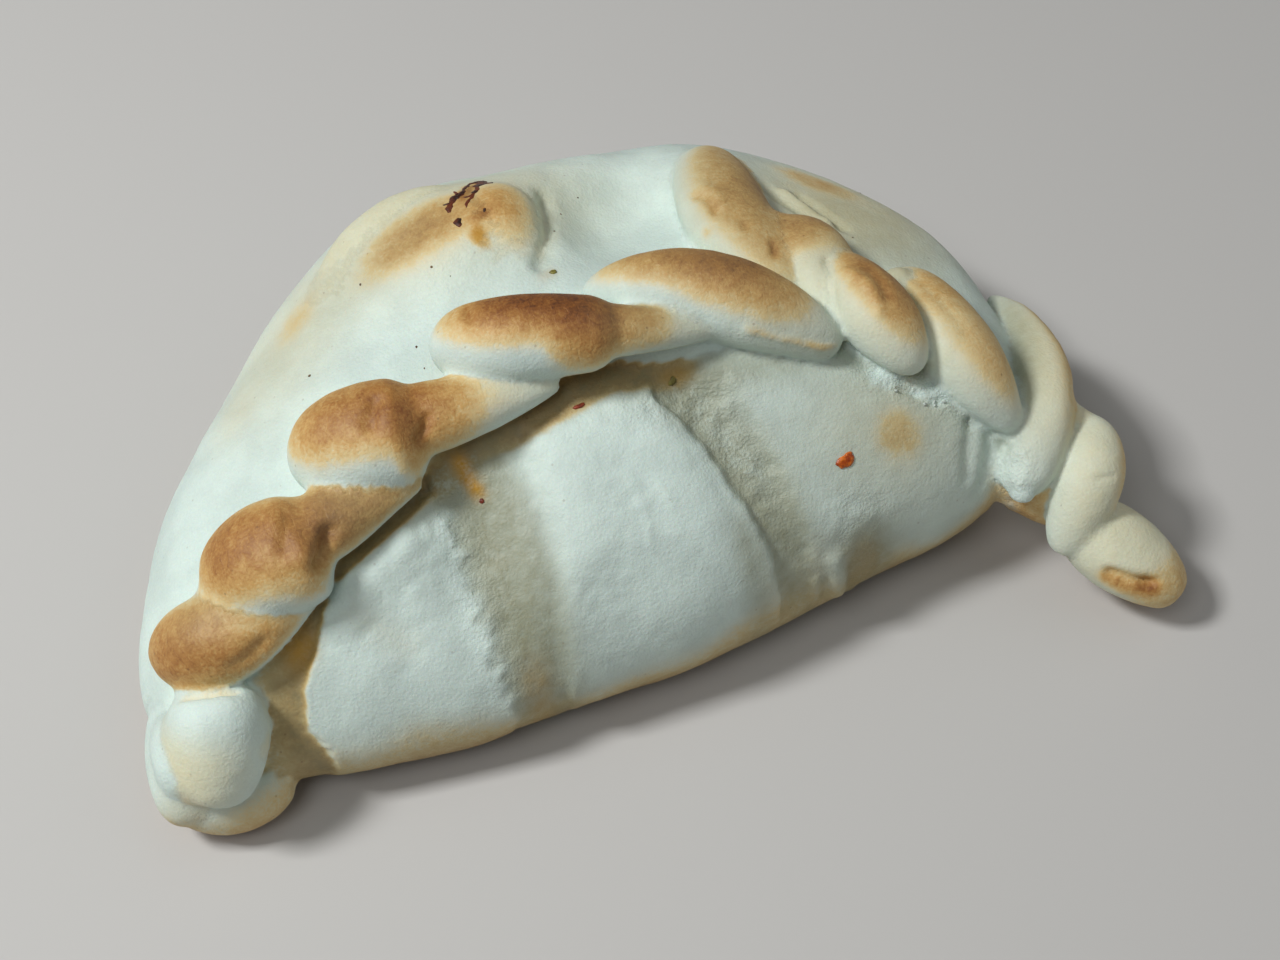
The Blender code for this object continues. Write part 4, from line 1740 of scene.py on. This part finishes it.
@dataclass
class Scraps:
    """All scraps of one kind, laid on the dough where its skin is below the ceiling."""

    kind: Scrap
    lying: tuple[Lying, ...]
    finish: ScrapFinish
    thickness: float = 0.35
    ragged: float = 0.3
    ceiling: float = 60.0
    sides: int = 22
    levels: int = 6
    bulge: float = 0.6
    tatters: Layers = ((1.0, 0.55, 11), (0.6, 0.3, 12))
    crown: float = 0.62
    sunk: float = 0.4

    def build(self, dough: bpy.types.Object, shift: Array) -> bpy.types.Object:
        """Lays the scraps on the dough.

        Args:
            dough: The finished dough.
            shift: From the design's place to the frame's, in millimetres.

        Returns:
            One mesh object with all scraps of the kind.
        """
        tree = BVHTree.FromObject(dough, bpy.context.evaluated_depsgraph_get())
        mesh = bmesh.new()
        for number, scrap in enumerate(self.lying):
            above = Vector(((scrap.at[0] + shift[0]) * MM, (scrap.at[1] + shift[1]) * MM, 1.0))
            point, normal, _, _ = tree.ray_cast(above, Vector((0, 0, -1)))
            if point.z < self.ceiling * MM:
                self.add_scrap(mesh, scrap, point, normal, number)
        return finished_piece(mesh, self.kind, self.finish)

    def add_scrap(
        self, mesh: bmesh.types.BMesh, scrap: Lying, point: Vector, normal: Vector, number: int
    ) -> None:
        """Adds one scrap, a ragged flattened lump sunk a little into the dough.

        Args:
            mesh: Takes the scrap.
            scrap: Its size and turn.
            point: Where it lies on the dough.
            normal: The dough's normal there.
            number: The scrap's number, for its own ragged outline.
        """
        spin = Matrix.Rotation(math.radians(scrap.turn), 3, "Z")
        lie = normal.to_track_quat("Z", "Y").to_matrix() @ spin
        loops = []
        for level in range(1, self.levels):
            tilt = math.pi * level / self.levels
            angles = 2 * math.pi * np.arange(self.sides) / self.sides
            unit = np.column_stack([np.cos(angles), np.sin(angles), np.full(self.sides, 2.0 * number)])
            wobble = 1 + self.ragged * waves(unit, self.tatters)
            ring = []
            for k in range(self.sides):
                reach = math.sin(tilt) ** self.bulge * wobble[k] / 2
                x, y = reach * scrap.size[0] * unit[k, 0], reach * scrap.size[1] * unit[k, 1]
                z = self.thickness * (0.5 * math.cos(tilt) + 0.15 * wobble[(3 * k) % self.sides])
                ring.append(mesh.verts.new(point + lie @ (Vector((x, y, z)) * MM)))
            loops.append(ring)
        top = mesh.verts.new(point + lie @ Vector((0, 0, self.crown * self.thickness * MM)))
        bottom = mesh.verts.new(point + lie @ Vector((0, 0, -self.sunk * self.thickness * MM)))
        for upper, lower in zip(loops, loops[1:]):
            for k in range(self.sides):
                mesh.faces.new((upper[k - 1], upper[k], lower[k], lower[k - 1]))
        for k in range(self.sides):
            mesh.faces.new((top, loops[0][k], loops[0][k - 1]))
            mesh.faces.new((bottom, loops[-1][k - 1], loops[-1][k]))


@dataclass(frozen=True)
class Streak:
    """One burnt streak: its course in plan, and its width at its start, middle and end."""

    course: tuple[Plan, ...]
    widths: tuple[float, float, float]


@dataclass
class ScorchMarks:
    """The burnt streaks on the back of the pocket: thin ragged crusts that follow the skin.

    The profile is a streak's section, across in half widths and up in heights.
    """

    kind: Scrap = Scrap.SCORCH
    lying: tuple[Streak, ...] = (
        Streak(
            (
                (-19.4, 27.5), (-19.0, 29.0), (-18.2, 30.0), (-17.1, 30.5),
                (-16.0, 32.2), (-14.9, 34.0), (-13.9, 35.0), (-12.9, 34.8),
            ),
            (1.5, 0.8, 1.0),
        ),
        Streak(((-12.9, 35.0), (-13.6, 33.4), (-14.2, 32.0), (-14.8, 30.9)), (1.0, 2.0, 1.1)),
        Streak(((-14.0, 33.0), (-12.9, 32.7), (-12.0, 33.1)), (1.8, 1.6, 0.5)),
        Streak(
            ((-14.6, 31.2), (-15.5, 29.6), (-16.4, 28.7), (-17.0, 27.8), (-17.3, 27.1)),
            (1.1, 0.7, 0.6),
        ),
        Streak(((-15.4, 29.8), (-16.2, 29.4), (-17.0, 29.4)), (0.6, 0.5, 0.3)),
        Streak(((-17.8, 31.8), (-17.7, 30.4)), (0.35, 0.5, 0.6)),
        Streak(((-19.9, 29.3), (-19.0, 29.0)), (0.3, 0.5, 0.5)),
        Streak(((-18.8, 25.8), (-18.9, 25.1), (-19.1, 24.2)), (0.7, 1.1, 0.3)),
        Streak(((-15.4, 25.7), (-15.1, 25.4)), (0.5, 0.7, 0.5)),
    )
    finish: ScrapFinish = ScrapFinish(srgb(106, 48, 22), srgb(42, 20, 12), 0.5)
    pace: float = 0.16
    height: float = 0.12
    profile: tuple[Span, ...] = ((-1, -0.6), (-0.6, 0.6), (0, 1), (0.6, 0.6), (1, -0.6), (0, -2))
    ragged: float = 0.55
    ragged_size: float = 0.45
    stray: float = 0.22
    stray_size: float = 0.7
    taper: float = 6.0
    blunt: float = 0.25

    def build(self, dough: bpy.types.Object, shift: Array) -> bpy.types.Object:
        """Lays the streaks on the dough.

        Args:
            dough: The finished dough.
            shift: From the design's place to the frame's, in millimetres.

        Returns:
            One mesh object with all streaks.
        """
        tree = BVHTree.FromObject(dough, bpy.context.evaluated_depsgraph_get())
        mesh = bmesh.new()
        for number, streak in enumerate(self.lying):
            self.add_streak(mesh, streak, tree, shift, number)
        return finished_piece(mesh, self.kind, self.finish)

    def add_streak(
        self, mesh: bmesh.types.BMesh, streak: Streak, tree: BVHTree, shift: Array, number: int
    ) -> None:
        """Adds one streak: a flat crust with a thin edge, laid point by point on the skin.

        Args:
            mesh: Takes the streak.
            streak: What to add.
            tree: The dough's skin.
            shift: From the design's place to the frame's, in millimetres.
            number: The streak's number, for its own ragged edge.
        """
        corners = np.array(streak.course)
        lengths = np.concatenate([[0], np.cumsum(np.linalg.norm(np.diff(corners, axis=0), axis=1))])
        count = max(int(lengths[-1] / self.pace), 5)
        stops = np.linspace(0, lengths[-1], count)
        plan = np.column_stack([np.interp(stops, lengths, corners[:, k]) for k in (0, 1)])
        seeds = np.column_stack([stops, np.full(count, 5.0 * number), np.zeros(count)])
        run = np.gradient(plan, axis=0)
        side = np.column_stack([-run[:, 1], run[:, 0]]) / np.linalg.norm(run, axis=1)[:, None]
        share = stops / lengths[-1]
        width = np.array([through(t, *streak.widths) for t in share]) / 2
        width *= 1 + self.ragged * noise(seeds, self.ragged_size, 13)
        width *= np.minimum(1, self.taper * np.minimum(share, 1 - share) + self.blunt)
        plan = plan + side * (self.stray * noise(seeds, self.stray_size, 14))[:, None]
        rings = []
        for k in range(count):
            ring = []
            for across, rise in self.profile:
                x, y = plan[k] + side[k] * width[k] * across + shift[:2]
                point, normal, _, _ = tree.ray_cast(Vector((x * MM, y * MM, 1.0)), Vector((0, 0, -1)))
                ring.append(mesh.verts.new(point + normal * (rise * self.height * MM)))
            rings.append(ring)
        for first, second in zip(rings, rings[1:]):
            for k in range(len(self.profile)):
                mesh.faces.new((first[k - 1], first[k], second[k], second[k - 1]))
        mesh.faces.new(rings[0])
        mesh.faces.new(rings[-1][::-1])


def finished_piece(mesh: bmesh.types.BMesh, kind: Scrap, finish: ScrapFinish) -> bpy.types.Object:
    """Makes a piece of one kind of scrap from its mesh, and gives it its finish.

    Args:
        mesh: The scraps; it is freed.
        kind: Names the piece.
        finish: Its looks.

    Returns:
        The piece.
    """
    bmesh.ops.recalc_face_normals(mesh, faces=mesh.faces)
    data = bpy.data.meshes.new(kind.value)
    mesh.to_mesh(data)
    mesh.free()
    data.shade_smooth()
    data.materials.append(finish.material(kind.value + "_finish"))
    piece = bpy.data.objects.new(kind.value, data)
    bpy.context.scene.collection.objects.link(piece)
    return piece


def strewn(
    line: Sequence[Plan], count: int, jitter: Span, sizes: Span, seed: int
) -> tuple[Lying, ...]:
    """Scraps strewn along a line.

    Args:
        line: The line's corners in plan.
        count: How many scraps.
        jitter: How far they stray from the line along x and along y.
        sizes: The smallest and the largest length.
        seed: Picks one of many layouts.

    Returns:
        Where each scrap lies.
    """
    random = np.random.default_rng(seed)
    corners = np.array(line)
    made = []
    for _ in range(count):
        place = random.uniform(0, len(corners) - 1)
        first = min(int(place), len(corners) - 2)
        point = corners[first] + (corners[first + 1] - corners[first]) * (place - first)
        point = point + random.normal(size=2) * jitter
        length = sizes[0] + (sizes[1] - sizes[0]) * random.random() ** 2
        size = (length, length * random.uniform(*SCRAP_SHAPE))
        made.append(Lying(tuple(point), size, random.uniform(0, 180)))
    return tuple(made)


SCRAPS = (
    Scraps(
        Scrap.PEPPER,
        (Lying((18.2, -19.2), (2.5, 1.5), 15),),
        ScrapFinish(srgb(222, 118, 30), srgb(160, 62, 14), 0.35),
        thickness=0.5,
    ),
    Scraps(
        Scrap.CHILLI,
        (Lying((-12.6, -6.0), (1.6, 0.5), 10), Lying((-27.2, -11.9), (0.7, 0.6), 0)),
        ScrapFinish(srgb(150, 62, 34), srgb(98, 34, 20), 0.4),
    ),
    Scraps(
        Scrap.HERB,
        (Lying((-0.1, -5.2), (1.2, 0.8), 40), Lying((-9.3, 15), (1.1, 0.7), 20)),
        ScrapFinish(srgb(140, 134, 62), srgb(96, 86, 38), 0.5),
    ),
    Scraps(
        Scrap.CRUMB,
        strewn(((24.8, -11.2), (28.5, -13.6), (33, -15.8)), 6, (0.6, 0.4), (0.4, 0.8), 21),
        ScrapFinish(srgb(206, 216, 210), srgb(176, 186, 178), 0.75),
        thickness=0.5,
        ragged=0.25,
        ceiling=30.5,
    ),
    ScorchMarks(),
    Scraps(
        Scrap.SOOT,
        (
            Lying((-42.7, 13.5), (0.4, 0.35)),
            Lying((-24, 20.4), (0.4, 0.3)),
            Lying((-29, 10.3), (0.35, 0.3)),
            Lying((-33, 24.2), (0.35, 0.3)),
            *strewn(((-45, 25), (-10, 14), (35, 15)), 8, (8, 8), (0.2, 0.35), 22),
        ),
        ScrapFinish(srgb(116, 90, 62), srgb(78, 56, 38), 0.6),
        thickness=0.12,
    ),
)


# --------------------------------------------------------------------------- studio


@dataclass(frozen=True)
class SoftLight:
    """One soft light: where it is, how large and how strong."""

    name: str
    place: Place
    size: float
    power: float


@dataclass(frozen=True)
class Studio:
    """A plain pale floor, soft lights and the camera, placed from the object's box."""

    floor_size: float = 3.0
    lights: tuple[SoftLight, ...] = (
        SoftLight("key_light", (-0.41, 0.08, 0.57), 0.14, 3.8),
        SoftLight("left_light", (-0.27, -0.23, 0.61), 0.3, 0.82),
        SoftLight("right_light", (0.6, -0.1, 0.4), 0.8, 0.8),
    )
    sky: float = 0.09
    azimuth: float = -19.0
    elevation: float = 55.0
    distance: float = 0.26
    lens: float = 54.42
    aim: Place = (0.00326, -0.00749, -0.01144)

    def build(self) -> None:
        """Sets up floor, lights, sky and camera."""
        low, high = (np.array(corner) for corner in CAD_BOUNDS)
        middle = (low + high) / 2
        self.add_floor(low[2])
        for light in self.lights:
            self.add_light(light, middle)
        world = bpy.data.worlds.new("soft_sky")
        world.use_nodes = True
        background = world.node_tree.nodes["Background"]
        background.inputs["Color"].default_value = (1.0, 1.0, 1.0, 1.0)
        background.inputs["Strength"].default_value = self.sky
        bpy.context.scene.world = world
        bpy.context.scene.view_settings.view_transform = "Standard"
        self.add_camera(middle)

    def add_floor(self, height: float) -> None:
        """Adds the floor at the resting height.

        Args:
            height: That height, in metres.
        """
        mesh = bmesh.new()
        bmesh.ops.create_grid(mesh, x_segments=8, y_segments=8, size=self.floor_size / 2)
        data = bpy.data.meshes.new("floor")
        mesh.to_mesh(data)
        mesh.free()
        data.materials.append(TableFinish().material())
        floor = bpy.data.objects.new("floor", data)
        floor.location.z = height
        bpy.context.scene.collection.objects.link(floor)

    def add_light(self, light: SoftLight, middle: Array) -> None:
        """Adds one soft light that faces the object.

        Args:
            light: The light.
            middle: The middle of the object's box.
        """
        lamp = bpy.data.lights.new(light.name, "AREA")
        lamp.size = light.size
        lamp.energy = light.power
        holder = bpy.data.objects.new(light.name, lamp)
        holder.location = Vector(middle) + Vector(light.place)
        holder.rotation_euler = (-Vector(light.place)).to_track_quat("-Z", "Y").to_euler()
        bpy.context.scene.collection.objects.link(holder)

    def add_camera(self, middle: Array) -> None:
        """Adds the camera and makes it the scene's.

        Args:
            middle: The middle of the object's box.
        """
        lens = bpy.data.cameras.new("camera")
        lens.lens = self.lens
        lens.sensor_width = 36.0
        lens.clip_start = 0.01
        lens.clip_end = 10.0
        turn, rise = math.radians(self.azimuth), math.radians(self.elevation)
        level = math.cos(rise)
        back = Vector((math.sin(turn) * level, -math.cos(turn) * level, math.sin(rise)))
        camera = bpy.data.objects.new("camera", lens)
        camera.location = Vector(middle) + Vector(self.aim) + back * self.distance
        camera.rotation_euler = back.to_track_quat("Z", "Y").to_euler()
        bpy.context.scene.collection.objects.link(camera)
        bpy.context.scene.camera = camera


def main() -> None:
    """Builds and dresses the dough, lays the scraps on it and sets up the studio."""
    logging.basicConfig(level=logging.INFO, format="%(name)s: %(message)s")
    maker = Dough()
    dough = maker.build()
    dough.data.materials.clear()
    dough.data.materials.append(CrustFinish().material())
    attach(dough, BODY)
    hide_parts(NODE)
    log.info("%s has %d faces", dough.name, len(dough.data.polygons))
    for scraps in SCRAPS:
        piece = scraps.build(dough, maker.placed / MM)
        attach(piece, BODY)
        log.info("%s has %d scraps", piece.name, len(scraps.lying))
    Studio().build()


if __name__ == "__main__":
    main()
